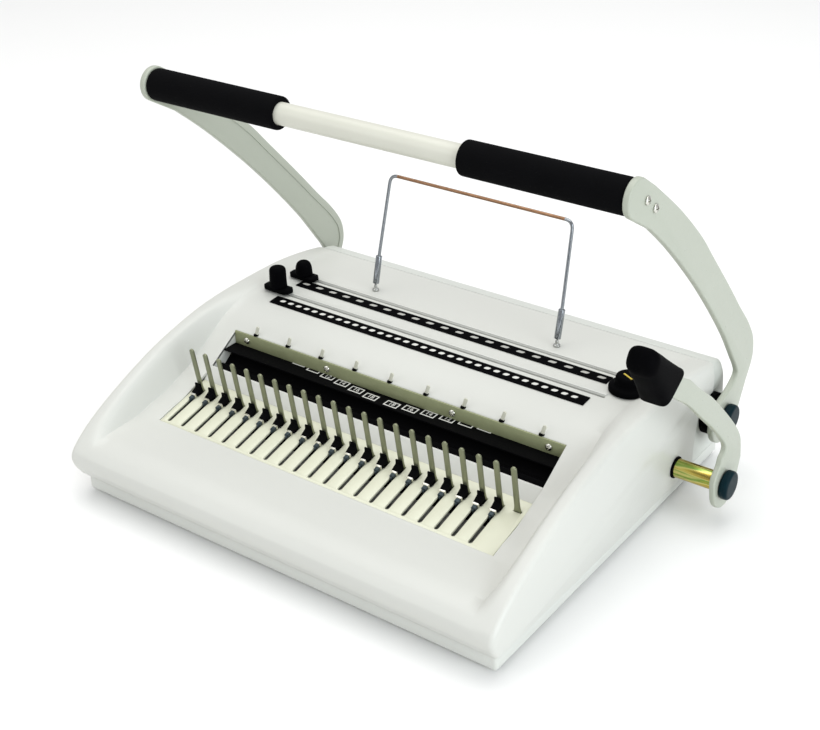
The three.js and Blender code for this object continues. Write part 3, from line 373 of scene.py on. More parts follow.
def grained(name, colour, shade, grain, depth, roughness, spread, patch=60, gloss=0.5, metallic=0.0):
    """A surface with a fine grain, slow colour drift between two tones and uneven gloss. Sizes in millimetres."""
    material, tree, shader, place = new_material(name)
    shader.inputs["IOR"].default_value = 1.5
    shader.inputs["Specular IOR Level"].default_value = gloss
    shader.inputs["Metallic"].default_value = metallic
    drift = add_node(tree, "ShaderNodeTexNoise", {"Scale": 1 / (patch * MM), "Detail": 4.0, "Roughness": 0.55},
                     {"Vector": place})
    tone = add_node(tree, "ShaderNodeMix", {"data_type": "RGBA"}, {"Factor": drift.outputs["Fac"]})
    for socket in tone.inputs:
        if socket.type == "RGBA":
            socket.default_value = (*(colour if socket.name == "A" else shade), 1)
    result = next(socket for socket in tone.outputs if socket.type == "RGBA")
    tree.links.new(result, shader.inputs["Base Color"])
    texture = add_node(tree, "ShaderNodeTexNoise", {"Scale": 1 / (grain * MM), "Detail": 6.0, "Roughness": 0.6},
                       {"Vector": place})
    polish = add_node(tree, "ShaderNodeMapRange",
                      {"From Min": 0.3, "From Max": 0.7, "To Min": roughness - spread, "To Max": roughness + spread},
                      {"Value": texture.outputs["Fac"]})
    tree.links.new(polish.outputs["Result"], shader.inputs["Roughness"])
    relief = add_node(tree, "ShaderNodeBump", {"Strength": 0.6, "Distance": depth * MM},
                      {"Height": texture.outputs["Fac"]})
    tree.links.new(relief.outputs["Normal"], shader.inputs["Normal"])
    return material


def drawn_steel(name, colour, shade, roughness, along=(0.6, 30.0, 30.0), depth=0.01):
    """Bare or plated steel with lines left by drawing or grinding, stretched along one direction."""
    material, tree, shader, place = new_material(name)
    shader.inputs["Metallic"].default_value = 1.0
    stretch = add_node(tree, "ShaderNodeMapping", {"Scale": along}, {"Vector": place})
    lines = add_node(tree, "ShaderNodeTexNoise", {"Scale": 90.0, "Detail": 5.0, "Roughness": 0.6},
                     {"Vector": stretch.outputs["Vector"]})
    ramp = add_node(tree, "ShaderNodeValToRGB", links={"Fac": lines.outputs["Fac"]})
    ramp.color_ramp.elements[0].position = 0.3
    ramp.color_ramp.elements[0].color = (*shade, 1)
    ramp.color_ramp.elements[1].position = 0.7
    ramp.color_ramp.elements[1].color = (*colour, 1)
    tree.links.new(ramp.outputs["Color"], shader.inputs["Base Color"])
    gloss = add_node(tree, "ShaderNodeMapRange", {"To Min": roughness * 0.7, "To Max": roughness * 1.4},
                     {"Value": lines.outputs["Fac"]})
    tree.links.new(gloss.outputs["Result"], shader.inputs["Roughness"])
    relief = add_node(tree, "ShaderNodeBump", {"Strength": 0.4, "Distance": depth * MM},
                      {"Height": lines.outputs["Fac"]})
    tree.links.new(relief.outputs["Normal"], shader.inputs["Normal"])
    return material


def yellow_passivate(name):
    """Yellow chromate on zinc in bands along the turned sleeve: gold, green and rose film tints, with a pale yellow
    band of painted highlight and dark olive bands of painted shade.
    """
    material, tree, shader, place = new_material(name)
    shader.inputs["Metallic"].default_value = 1.0
    shader.inputs["Roughness"].default_value = 0.24
    stretch = add_node(tree, "ShaderNodeMapping", {"Scale": (0.08, 1.0, 1.0)}, {"Vector": place})
    drift = add_node(tree, "ShaderNodeTexNoise", {"Scale": 1 / (6 * MM), "Detail": 2.0, "Distortion": 0.3},
                     {"Vector": stretch.outputs["Vector"]})
    ramp = add_node(tree, "ShaderNodeValToRGB", links={"Fac": drift.outputs["Fac"]})
    # Gold, green and rose stops are film tints; the pale yellow stop is painted highlight and the dark olive stop is
    # painted shade
    film_and_sheen_stops = [(0.3, "#6E6230"), (0.42, "#C4AE55"), (0.5, "#D9CE82"),
             (0.58, "#7FA04C"), (0.66, "#B9A24A"), (0.76, "#B98468")]
    while len(ramp.color_ramp.elements) < len(film_and_sheen_stops):
        ramp.color_ramp.elements.new(0.5)
    for element, (position, code) in zip(ramp.color_ramp.elements, film_and_sheen_stops):
        element.position = position
        element.color = (*linear(code), 1)
    tree.links.new(ramp.outputs["Color"], shader.inputs["Base Color"])
    return material


def make_materials(colours):
    """Every finish on the machine, by short name."""
    def shaded(colour, share):
        return colour, tuple(c * share for c in colour)

    def codes(*pair):
        return tuple(linear(code) for code in pair)

    return {
        # Injection moulded ABS with a fine spark-eroded grain: satin, a little warm, no sharp mirror
        "casing": grained("ABS_moulded_ivory", *shaded(colours.casing, 0.95), 0.9, 0.02, 0.4, 0.05, 90),
        "cover": grained("ABS_moulded_grey", *shaded(colours.cover, 0.94), 0.9, 0.02, 0.45, 0.05, 80),
        "foot_strip": grained("ABS_moulded_base", *shaded(colours.foot_strip, 0.9), 1.1, 0.03, 0.55, 0.06),
        # Powder coat on sheet steel: slow orange peel and a half gloss
        "comb_plate": grained("Powder_coat_cream", *shaded(colours.comb_plate, 0.95), 2.2, 0.03, 0.33, 0.05, 40),
        "arms": grained("Powder_coat_grey", *shaded(colours.arms, 0.94), 2.4, 0.035, 0.32, 0.05, 60),
        # The same coat on the drawn tube, a little creamier and lighter: painted light standing for the light on the
        # tube's top
        "tube": grained("Powder_coat_tube_painted_light", *codes("#D2D2C6", "#C9C9BD"), 2.4, 0.03, 0.34, 0.05, 60),
        # Moulded black ABS with a light matt grain
        "plastic": grained("ABS_moulded_black", *shaded(colours.plastic, 1.6), 0.8, 0.02, 0.6, 0.08, 20, 0.015),
        # Closed cell foam tube: dead matt with open pores about a millimetre wide
        "foam": grained("EVA_foam_black", *shaded(colours.foam, 2.0), 0.9, 0.12, 0.9, 0.06, 12, 0.06),
        # Moulded natural rubber feet, matt
        "rubber": grained("Rubber_black", *codes("#101011", "#191919"), 1.2, 0.04, 0.8, 0.08, 15),
        # Polished ABS caps, glossier than the knobs
        "caps": grained("ABS_gloss_cap", *shaded(colours.caps, 1.5), 3.0, 0.004, 0.36, 0.04, 14, 0.06),
        # Ground mild steel of the inner works: fine lines along the grinding, half bright
        "steel": drawn_steel("Steel_ground", *codes("#C2C3C0", "#9EA09D"), 0.32),
        # Nickel plate on small steel parts: bright, with short turning lines
        "bright": drawn_steel("Nickel_plated_steel", *codes("#E4E3DC", "#C2C2B8"), 0.2, (30.0, 4.0, 0.8)),
        # Chrome plated spring wire: near mirror, drawn along the wire
        "chrome": drawn_steel("Chrome_plated_wire", *codes("#A5A9AD", "#7B8187"), 0.1, (20.0, 20.0, 1.0), 0.003),
        # The bail's top where the chrome is worn down to its copper undercoat: duller and warm
        "copper": drawn_steel("Chrome_wire_worn_to_copper", *codes("#A98468", "#75573F"), 0.24, (1.0, 20.0, 20.0),
                              0.003),
        # Olive passivated zinc on rolled strip: cloudy green grey in patches under a centimetre wide
        "olive": grained("Olive_passivated_steel", *codes("#9A9F7B", "#888D6A"), 3.0, 0.006, 0.5, 0.06, 9, 0.4, 0.2),
        # Spring steel blued by its heat treatment: the hooks' bent bodies
        "blued": grained("Blued_spring_steel", *codes("#4E5A60", "#343D43"), 2.0, 0.006, 0.3, 0.06, 12, 0.5, 0.85),
        # Moulded nylon wire pins: cream and softly glossy
        "wire_pin": grained("Nylon_moulded_cream", *codes("#D2D2C4", "#C6C6B6"), 1.5, 0.006, 0.4, 0.06, 6),
        # Tumbled and dull nickel plated pins, olive grey beside the hooks' bright heads
        "pin_steel": grained("Dull_nickel_steel", *codes("#93967C", "#797D64"), 1.2, 0.006, 0.34, 0.06, 20, 0.5, 0.7),
        # Zinc plate passivated yellow on the turned sleeves, its bands partly painted highlight and painted shade
        "yellow": yellow_passivate("Yellow_zinc_film_and_sheen"),
        # Black oxide on rolled steel: soft black, nearly no gloss
        "oxide": grained("Black_oxide_steel", *codes("#040405", "#070708"), 1.5, 0.015, 0.6, 0.08, 25, 0.03),
        # Screen printed ink, flat and faintly grained
        "ink": grained("Screen_ink_pale", *shaded(colours.ink, 0.9), 0.5, 0.005, 0.55, 0.05, 5),
        "grey_ink": grained("Screen_ink_grey", *codes("#B4B4AE", "#A6A6A0"), 0.5, 0.005, 0.55, 0.05, 5),
        # Pad printed yellow mark on the dial
        "yellow_ink": grained("Pad_ink_yellow", *codes("#C9B23A", "#B39C2C"), 0.5, 0.005, 0.5, 0.05, 5),
    }


MATERIALS = {}


# Shapes: each is a list of places and a list of faces, in drawing millimetres


def curve_through(points, per):
    """A smooth line through the points, the same one as the CAD's, with so many steps a span."""
    last = len(points) - 1
    line = []
    for i in range(last):
        four = [points[max(i - 1, 0)], points[i], points[i + 1], points[min(i + 2, last)]]
        for k in range(per + (i == last - 1)):
            t = k / per
            line.append(tuple(
                0.5 * (2 * b + (c - a) * t + (2 * a - 5 * b + 4 * c - d) * t * t + (3 * b - a - 3 * c + d) * t ** 3)
                for a, b, c, d in zip(*four)))
    return line


def scaled(shares, along, up):
    """Shares of two lengths as real places."""
    return [(a * along, b * up) for a, b in shares]


def height_on(line, y):
    """Height of a rising list of places at one y."""
    for (ya, za), (yb, zb) in zip(line, line[1:]):
        if ya <= y <= yb:
            return za + (zb - za) * (y - ya) / max(yb - ya, 1e-9)
    return line[-1][1] if y > line[-1][0] else line[0][1]


def soften(points, radius, steps=3, closed=False):
    """The same line with each corner turned into a small curve."""
    count = len(points)
    result = []
    for i, point in enumerate(points):
        if not closed and i in (0, count - 1):
            result.append(tuple(point))
            continue
        here = Vector(point)
        before, after = Vector(points[i - 1]) - here, Vector(points[(i + 1) % count]) - here
        if min(before.length, after.length) < 1e-6:
            result.append(tuple(point))
            continue
        start = here + before.normalized() * min(radius, before.length * 0.45)
        end = here + after.normalized() * min(radius, after.length * 0.45)
        for k in range(steps + 1):
            t = k / steps
            result.append(tuple(start * (1 - t) ** 2 + here * 2 * t * (1 - t) + end * t * t))
    return result


def side_normals(line, closed=False):
    """Unit normals to the right of a line of two-number places."""
    count = len(line)
    normals = []
    for i in range(count):
        a = line[i - 1] if i or closed else line[0]
        b = line[(i + 1) % count] if i < count - 1 or closed else line[-1]
        size = math.hypot(b[0] - a[0], b[1] - a[1]) or 1
        normals.append(((b[1] - a[1]) / size, (a[0] - b[0]) / size))
    return normals


def joined(*shapes):
    """Several shapes as one."""
    places, faces = [], []
    for shape_places, shape_faces in shapes:
        start = len(places)
        places += shape_places
        faces += [tuple(i + start for i in face) for face in shape_faces]
    return places, faces


def placed(shape, matrix):
    """A shape moved by a matrix."""
    return [tuple(matrix @ Vector(place)) for place in shape[0]], shape[1]


def mirrored(shape):
    """A shape on the other side of the middle."""
    return [(-x, y, z) for x, y, z in shape[0]], [face[::-1] for face in shape[1]]


def deck_frame(place, x=0):
    """The matrix of a tilted working frame."""
    y, z, tilt = place
    return Matrix.Translation((x, y, z)) @ Matrix.Rotation(math.radians(tilt), 4, "X")


def circle(radius, sides):
    """Evenly spaced places round a circle about the origin."""
    return [(radius * math.cos(2 * math.pi * k / sides), radius * math.sin(2 * math.pi * k / sides))
            for k in range(sides)]


def arc(y, z, radius, start, end, steps=24):
    """Places along an arc about y and z, between two angles in degrees."""
    turns = [math.radians(start + (end - start) * k / steps) for k in range(steps + 1)]
    return [(y + radius * math.cos(t), z + radius * math.sin(t)) for t in turns]


def lathe(profile, sides=64, axis="X", at=(0, 0, 0)):
    """A profile of radius and distance turned about an axis; ends on the axis close in a point."""
    places, faces, rings = [], [], []
    for radius, along in profile:
        ring = []
        for k in range(1 if radius < 1e-6 else sides):
            angle = 2 * math.pi * k / sides
            u, v = radius * math.cos(angle), radius * math.sin(angle)
            local = (along, u, v) if axis == "X" else (u, v, along)
            ring.append(len(places))
            places.append(tuple(a + b for a, b in zip(local, at)))
        rings.append(ring)
    if profile[0] == profile[-1]:
        places = places[:len(places) - len(rings[-1])]
        rings[-1] = rings[0]
    for first, second in zip(rings, rings[1:]):
        for k in range(sides):
            n = (k + 1) % sides
            quad = [first[k % len(first)], first[n % len(first)], second[n % len(second)], second[k % len(second)]]
            quad = tuple(dict.fromkeys(quad))
            if len(quad) > 2:
                faces.append(quad)
    return places, faces


def rod(radius, start, end, sides, at=(0, 0, 0)):
    """A plain rod along X."""
    return lathe([(0, start), (radius, start), (radius, end), (0, end)], sides, "X", at)


def tube(inner, outer, start, end, rounding, sides):
    """A tube along X with its rims rounded."""
    profile = [(inner, start), (outer, start), (outer, end), (inner, end), (inner, start)]
    return lathe(soften(profile, rounding), sides)


def cap_shape(start, length, radius):
    """A moulded end cap with a softly domed face."""
    return lathe(soften([(r * radius, start + h * length) for r, h in CAP_PROFILE], 1.6, 5), 72)


def inset(outline, distance):
    """A closed outline moved inwards, without the points that would then come too near to its edge."""
    if sum(a[0] * b[1] - b[0] * a[1] for a, b in zip(outline, outline[1:] + outline[:1])) < 0:
        outline = outline[::-1]
    edge = [Vector(p) for p in outline]
    sides = list(zip(edge, edge[1:] + edge[:1]))

    def clear(place):
        for start, end in sides:
            run = end - start
            share = max(0.0, min(1.0, (place - start).dot(run) / max(run.length_squared, 1e-9)))
            if (start + run * share - place).length < distance - 0.05:
                return False
        return True

    moved_in = [Vector((y - distance * ny, z - distance * nz))
                for (y, z), (ny, nz) in zip(outline, side_normals(outline, closed=True))]
    return [tuple(place) for place in moved_in if clear(place)]


def loft(rings):
    """Equal closed rings joined one to the next, with both ends closed."""
    count, faces = len(rings[0]), []
    for i in range(len(rings) - 1):
        for k in range(count):
            n = (k + 1) % count
            faces.append((i * count + k, i * count + n, (i + 1) * count + n, (i + 1) * count + k))
    faces += [tuple(range(count))[::-1], tuple(range((len(rings) - 1) * count, len(rings) * count))]
    return [place for ring in rings for place in ring], faces


def prism(outline, low, high):
    """A closed outline of x and y raised along Z."""
    places, faces = loft([[(x, y, z) for x, y in outline] for z in (low, high)])
    return places, faces[-2:] + faces[:-2]


def sweep(outline, x0, x1, edge=1.0, steps=4):
    """A closed outline of y and z carried along X, with its two rims rounded."""
    if sum(a[0] * b[1] - b[0] * a[1] for a, b in zip(outline, outline[1:] + outline[:1])) < 0:
        outline = outline[::-1]
    normals = side_normals(outline, closed=True)
    turns = [math.pi / 2 * k / steps for k in range(steps + 1)]
    stations = [(x0 + edge * (1 - math.cos(t)), edge * (1 - math.sin(t))) for t in turns]
    stations += [(x1 - edge * (1 - math.cos(t)), edge * (1 - math.sin(t))) for t in reversed(turns)]
    return loft([[(x, y - drawn * ny, z - drawn * nz) for (y, z), (ny, nz) in zip(outline, normals)]
                 for x, drawn in stations])


def slab(x0, x1, y0, y1, z0, z1, edge=0.3):
    """A block with eased edges."""
    mesh = bmesh.new()
    bmesh.ops.create_cube(mesh, size=1)
    for vert in mesh.verts:
        vert.co = ((x0 + x1) / 2 + vert.co.x * (x1 - x0), (y0 + y1) / 2 + vert.co.y * (y1 - y0),
                   (z0 + z1) / 2 + vert.co.z * (z1 - z0))
    if edge:
        bmesh.ops.bevel(mesh, geom=mesh.edges[:], offset=edge, segments=2, affect="EDGES", clamp_overlap=True)
    mesh.verts.ensure_lookup_table()
    shape = [tuple(v.co) for v in mesh.verts], [tuple(v.index for v in f.verts) for f in mesh.faces]
    mesh.free()
    return shape


# From shapes to pieces


def mesh_from(name, shape, matrix=TO_FRAME, closed=True):
    """A mesh in frame metres, its faces turned outwards where it is closed."""
    mesh = bpy.data.meshes.new(name)
    mesh.from_pydata([matrix @ Vector(place) for place in shape[0]], [], shape[1])
    if closed:
        work = bmesh.new()
        work.from_mesh(mesh)
        bmesh.ops.recalc_face_normals(work, faces=work.faces[:])
        work.to_mesh(mesh)
        work.free()
    mesh.update()
    return mesh


def baked(holder):
    """The plain mesh that a holder's modifiers give; the holder goes."""
    scene = bpy.context.scene
    scene.collection.objects.link(holder)
    bpy.context.view_layer.update()
    mesh = bpy.data.meshes.new_from_object(holder.evaluated_get(bpy.context.evaluated_depsgraph_get()))
    bpy.data.objects.remove(holder)
    return mesh


def finished(mesh, finish):
    """A mesh with its one finish set."""
    mesh.materials.clear()
    mesh.materials.append(MATERIALS[finish])
    return mesh


def add_piece(name, mesh, body, finish, nodes=(), angle=35, keep_finish=False):
    """A finished piece: finish and shading set, riding on its body and standing for its CAD nodes."""
    if not keep_finish:
        finished(mesh, finish)
        mesh.polygons.foreach_set("material_index", [0] * len(mesh.polygons))
    mesh.shade_smooth()
    mesh.set_sharp_from_angle(angle=math.radians(angle))
    mesh.name = name
    piece = bpy.data.objects.new(name, mesh)
    bpy.context.scene.collection.objects.link(piece)
    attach(piece, body)
    if nodes:
        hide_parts(*nodes)
    return piece


def weighted(mesh, bevel=0.0, wall=0.0, angle=40):
    """A mesh given an inner wall, eased rims and normals that follow its large faces."""
    holder = bpy.data.objects.new("holder", mesh)
    if wall:
        solid = holder.modifiers.new("wall", "SOLIDIFY")
        solid.thickness, solid.offset, solid.use_even_offset = wall, -1, False
    if bevel:
        ease = holder.modifiers.new("ease", "BEVEL")
        ease.width, ease.segments, ease.limit_method = bevel, 2, "ANGLE"
        ease.angle_limit = math.radians(angle)
        ease.use_clamp_overlap = True
    follow = holder.modifiers.new("normals", "WEIGHTED_NORMAL")
    follow.keep_sharp = True
    return baked(holder)


def eased_node(node, name, body, finish, bevel, angle=35):
    """A CAD node's own shape with its edges eased."""
    work = bmesh.new()
    work.from_mesh(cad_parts[node].data)
    bmesh.ops.remove_doubles(work, verts=work.verts[:], dist=0.01 * MM)
    bmesh.ops.dissolve_limit(work, angle_limit=math.radians(0.5), verts=work.verts[:], edges=work.edges[:])
    mesh = bpy.data.meshes.new(name)
    work.to_mesh(mesh)
    work.free()
    return add_piece(name, weighted(mesh, bevel), body, finish, [node], angle)


def seat_of(node):
    """The middle of a CAD node's foot, in drawing millimetres."""
    low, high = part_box(node)
    middle = TO_FRAME.inverted() @ ((low + high) / 2)
    return middle.x, middle.y, (TO_FRAME.inverted() @ low).z


def refinish(finish, *nodes):
    """CAD nodes whose shape is right keep it and take a better material."""
    for node in nodes:
        finished(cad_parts[node].data, finish)


def cut_away(mesh, tool):
    """A mesh with a closed tool taken out of it."""
    holder, cutter = bpy.data.objects.new("holder", mesh), bpy.data.objects.new("cutter", tool)
    bpy.context.scene.collection.objects.link(cutter)
    take = holder.modifiers.new("cut", "BOOLEAN")
    take.operation, take.object, take.solver = "DIFFERENCE", cutter, "EXACT"
    result = baked(holder)
    bpy.data.objects.remove(cutter)
    return result


def row_tree():
    """Geometry Nodes that set copies of one shape in a row."""
    if "binder_row" in bpy.data.node_groups:
        return bpy.data.node_groups["binder_row"]
    tree = bpy.data.node_groups.new("binder_row", "GeometryNodeTree")
    tree.interface.new_socket("Geometry", in_out="OUTPUT", socket_type="NodeSocketGeometry")
    inputs = {"Copy": "Object", "Count": "Int", "Start": "Vector", "Step": "Vector", "Finish": "Material"}
    for name, kind in inputs.items():
        tree.interface.new_socket(name, in_out="INPUT", socket_type="NodeSocket" + kind)
    given = add_node(tree, "NodeGroupInput").outputs
    copy = add_node(tree, "GeometryNodeObjectInfo", links={"Object": given["Copy"]})
    line = add_node(tree, "GeometryNodeMeshLine", {"mode": "OFFSET"},
                    {"Count": given["Count"], "Start Location": given["Start"], "Offset": given["Step"]})
    copies = add_node(tree, "GeometryNodeInstanceOnPoints",
                      links={"Points": line.outputs["Mesh"], "Instance": copy.outputs["Geometry"]})
    real = add_node(tree, "GeometryNodeRealizeInstances", links={"Geometry": copies.outputs["Instances"]})
    finish = add_node(tree, "GeometryNodeSetMaterial",
                      links={"Geometry": real.outputs["Geometry"], "Material": given["Finish"]})
    add_node(tree, "NodeGroupOutput", links={"Geometry": finish.outputs["Geometry"]})
    return tree


def row_of(mesh, count, start, step, finish):
    """The plain mesh of a row of copies; start and step are in drawing millimetres."""
    copy = bpy.data.objects.new("copy", mesh)
    bpy.context.scene.collection.objects.link(copy)
    tree = row_tree()
    holder = bpy.data.objects.new("row", bpy.data.meshes.new("row"))
    modifier = holder.modifiers.new("row", "NODES")
    modifier.node_group = tree
    values = {"Copy": copy, "Count": count, "Start": tuple(v * MM for v in start),
              "Step": tuple(v * MM for v in step), "Finish": MATERIALS[finish]}
    for item in tree.interface.items_tree:
        if item.in_out == "INPUT":
            modifier[item.identifier] = values[item.name]
    result = baked(holder)
    bpy.data.objects.remove(copy)
    return finished(result, finish)


def merged(*meshes):
    """Several meshes as one, keeping their materials."""
    result = bpy.data.meshes.new("merged")
    work = bmesh.new()
    for mesh in meshes:
        start = len(work.faces)
        work.from_mesh(mesh)
        work.faces.ensure_lookup_table()
        table = []
        for material in mesh.materials:
            if material.name not in result.materials:
                result.materials.append(material)
            table.append(result.materials.find(material.name))
        for face in work.faces[start:]:
            face.material_index = table[face.material_index] if table else 0
    work.to_mesh(result)
    work.free()
    return result


# Casing lines

DECK_LINE = curve_through(scaled(DECK_SHARES, CASING_DEPTH, CASING_HEIGHT), LINE_STEPS)
CHEEK_LINE = curve_through(scaled(CHEEK_SHARES, CASING_DEPTH, CASING_HEIGHT), LINE_STEPS)
REAR_LINE = scaled(REAR_SHARES, CASING_DEPTH, CASING_HEIGHT)


def deck_height(y):
    """Height of the table at a place from front to back."""
    return height_on(DECK_LINE[NOSE_POINTS * LINE_STEPS:], y)


def casing_rows(extra):
    """Matching places on the deck and the cheek, up the nose and then back over the table."""
    nose = NOSE_POINTS * LINE_STEPS
    rows = [(DECK_LINE[i], CHEEK_LINE[i]) for i in range(nose)]
    start = max(DECK_LINE[nose][0], CHEEK_LINE[nose][0])
    last = min(DECK_LINE[-1][0], CHEEK_LINE[-1][0])
    steps = sorted({round(y, 3) for y, _ in DECK_LINE[nose:] + CHEEK_LINE[nose:] if start <= y <= last})
    steps = [y for y in steps if all(abs(y - e) > ROW_GAP for e in extra)]
    for y in sorted(set(steps) | set(extra) | {start}):
        row = ((y, height_on(DECK_LINE[nose:], y)), (y, height_on(CHEEK_LINE[nose:], y)))
        if y in extra or y == last or math.dist(row[1], rows[-1][1]) > ROW_GAP:
            rows.append(row)
    return rows


def moulded_shell(rows, columns, is_open, edge, half):
    """The outer skin of a moulding: rows of deck and cheek places, columns of place, lift and drawing in."""
    normals = side_normals([cheek for _, cheek in rows])
    places = []
    for x, lift, drawn in columns:
        for ((yd, zd), (yc, zc)), (ny, nz) in zip(rows, normals):
            places.append((x, yd + lift * (yc - yd) + drawn * ny, zd + lift * (zc - zd) + drawn * nz))
    count, faces = len(rows), []
    for j in range(len(columns) - 1):
        for i in range(count - 1):
            mid = ((columns[j][0] + columns[j + 1][0]) / 2, (rows[i][0][0] + rows[i + 1][0][0]) / 2,
                   (rows[i][0][1] + rows[i + 1][0][1]) / 2)
            if not is_open(*mid):
                faces.append((j * count + i, (j + 1) * count + i, (j + 1) * count + i + 1, j * count + i + 1))
    for side, j in ((-1, 0), (1, len(columns) - 1)):
        first = len(places)
        places += [(side * half, y, z) for y, z in edge]
        ring = list(range(j * count, (j + 1) * count)) + list(range(first, first + len(edge)))
        faces.append(tuple(ring[::-1] if side > 0 else ring))
    return places, faces


def shell_columns(flat, foot, half, radius, lifted):
    """Places across a moulding: flat middle, cheek rise and rounded outer edge."""
    right = [(x, 0.0, 0.0) for x in flat]
    if lifted:
        top = half - radius - CHEEK_TOP
        right += [(foot + (top - foot) * t, 1 - (1 - t) ** CHEEK_EASE, 0.0) for t in CHEEK_STEPS]
    for k in range(EDGE_STEPS + 1):
        angle = math.pi / 2 * k / EDGE_STEPS
        right.append((half - radius + radius * math.sin(angle), float(lifted), radius * (1 - math.cos(angle))))
    return [(-x, lift, drawn) for x, lift, drawn in reversed(right[1:])] + right


# Operators, one for each piece or group of like pieces


class BuildCasing(bpy.types.Operator):
    """Moulds the casing: table, cheeks and nose in one skin, with the trough walls and the paper ridges"""
    bl_idname = "binder.casing"
    bl_label = "Casing"

    def execute(self, context):
        sizes = context.scene.binder_sizes
        radius, wall, foot = sizes.casing_round / MM, sizes.casing_wall / MM, sizes.cheek_foot / MM
        gap = PAPER_GAP / 2
        openings = [
            (PLATE_FRONT, TROUGH_REAR, TROUGH_HALF),
            (WIRE_SLOT - gap, WIRE_SLOT + gap, THROAT_HALF),
            (COMB_SLOT - gap, COMB_SLOT + gap, THROAT_HALF),
        ]
        rows = casing_rows([y for front, rear, _ in openings for y in (front, rear)])
        flat = [0.0, DECK_COLUMNS[0], TROUGH_HALF, THROAT_HALF, DECK_COLUMNS[1]]
        columns = shell_columns(flat, foot, CASING_HALF, radius, True)

        def is_open(x, y, z):
            return z > CASING_HEIGHT * 0.4 and any(
                front < y < rear and abs(x) < half for front, rear, half in openings)

        edge = [(y - 0.4, z) for y, z in REAR_LINE[1:]]
        skin = moulded_shell(rows, columns, is_open, edge, CASING_HALF)
        mesh = weighted(mesh_from("casing", skin, closed=False), 0.35 * MM, wall * MM, 50)
        walls = [sweep(outline, near, far, 0.2, 1) for outline, near, far in (
            (TROUGH_STEP, -TROUGH_HALF, TROUGH_HALF), (TROUGH_BACK, -TROUGH_SIDE, TROUGH_SIDE),
            (TROUGH_END, -TROUGH_SIDE, -TROUGH_HALF), (TROUGH_END, TROUGH_HALF, TROUGH_SIDE))]
        for slot in (WIRE_SLOT, COMB_SLOT):
            front, rear = slot + gap + RIDGE_START, slot + gap + RIDGE_END
            profile = [(front, deck_height(front) - RIDGE_ROOT), (front, deck_height(front) + RIDGE_RISE),
                       (rear, deck_height(rear) + RIDGE_RISE), (rear, deck_height(rear) - RIDGE_ROOT)]
            walls.append(sweep(soften(profile, 0.5, 3, True), -THROAT_HALF, THROAT_HALF, 0.4, 3))
        parts = mesh_from("casing_walls", joined(*walls))
        whole = merged(finished(mesh, "casing"), finished(parts, "casing"))
        add_piece("casing_moulding", whole, "base", "casing", ["casing"], 40)
        return {"FINISHED"}


class BuildCover(bpy.types.Operator):
    """Moulds the rear cover with the opening for the chip tray"""
    bl_idname = "binder.rear_cover"
    bl_label = "Rear cover"

    def execute(self, context):
        wall = context.scene.binder_sizes.casing_wall / MM
        back = curve_through(scaled(COVER_SHARES, CASING_DEPTH, CASING_HEIGHT), LINE_STEPS)
        back = sorted({(round(y, 3), round(z, 3)) for y, z in back if abs(z - GATE_TOP) > 1.5}, key=lambda p: -p[1])
        below = next(i for i, p in enumerate(back) if p[1] < GATE_TOP)
        (y0, z0), (y1, z1) = back[below - 1], back[below]
        back.insert(below, (y0 + (z0 - GATE_TOP) / (z0 - z1) * (y1 - y0), GATE_TOP))
        rows = [(p, p) for p in back]
        columns = shell_columns([0.0, DECK_COLUMNS[0], GATE_HALF], 0, COVER_HALF, COVER_ROUND, False)
        edge = [(y + 0.8, z) for y, z in REAR_LINE[1:]][::-1]
        skin = moulded_shell(rows, columns, lambda x, y, z: z < GATE_TOP and abs(x) < GATE_HALF, edge, COVER_HALF)
        mesh = weighted(mesh_from("rear_cover", skin, closed=False), 0.3 * MM, wall * MM, 50)
        bore = rod(COVER_BORE, -210, 210, 48, (0, *SHAFT_PLACE[:2]))
        add_piece("rear_cover_moulding", cut_away(mesh, mesh_from("bore", bore)), "base", "cover",
                  ["rear_cover"], 40)
        return {"FINISHED"}


class BuildFoot(bpy.types.Operator):
    """Builds the base strip, the lip round it and the four rubber feet"""
    bl_idname = "binder.base"
    bl_label = "Base and feet"

    def execute(self, context):
        eased_node("base_plate", "base_strip", "base", "foot_strip", 0.6 * MM)
        low, high = (TO_FRAME.inverted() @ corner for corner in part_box("base_plate"))

        def round_base(out, rear):
            left, right, front = low.x - out, high.x + out, low.y - out
            return [(left, rear), (left, front), (right, front), (right, rear)]

        band = mesh_from("band", prism(soften(round_base(LIP_PROUD, high.y), 3.0, 4), LIP_LOW, LIP_TOP))
        gap = mesh_from("gap", prism(round_base(-LIP_INSET, high.y + 2), -5, 20))
        band = weighted(cut_away(band, gap), 0.4 * MM, angle=50)
        add_piece("base_lip", band, "base", "foot_strip")
        for number in range(1, 5):
            node = f"foot_{number}"
            x, y, _ = seat_of(node)
            foot = lathe(soften(FOOT_PROFILE, 0.6), 40, "Z", (x, y, 0))
            add_piece(f"rubber_{node}", mesh_from("foot", foot), "base", "rubber", [node])
        return {"FINISHED"}


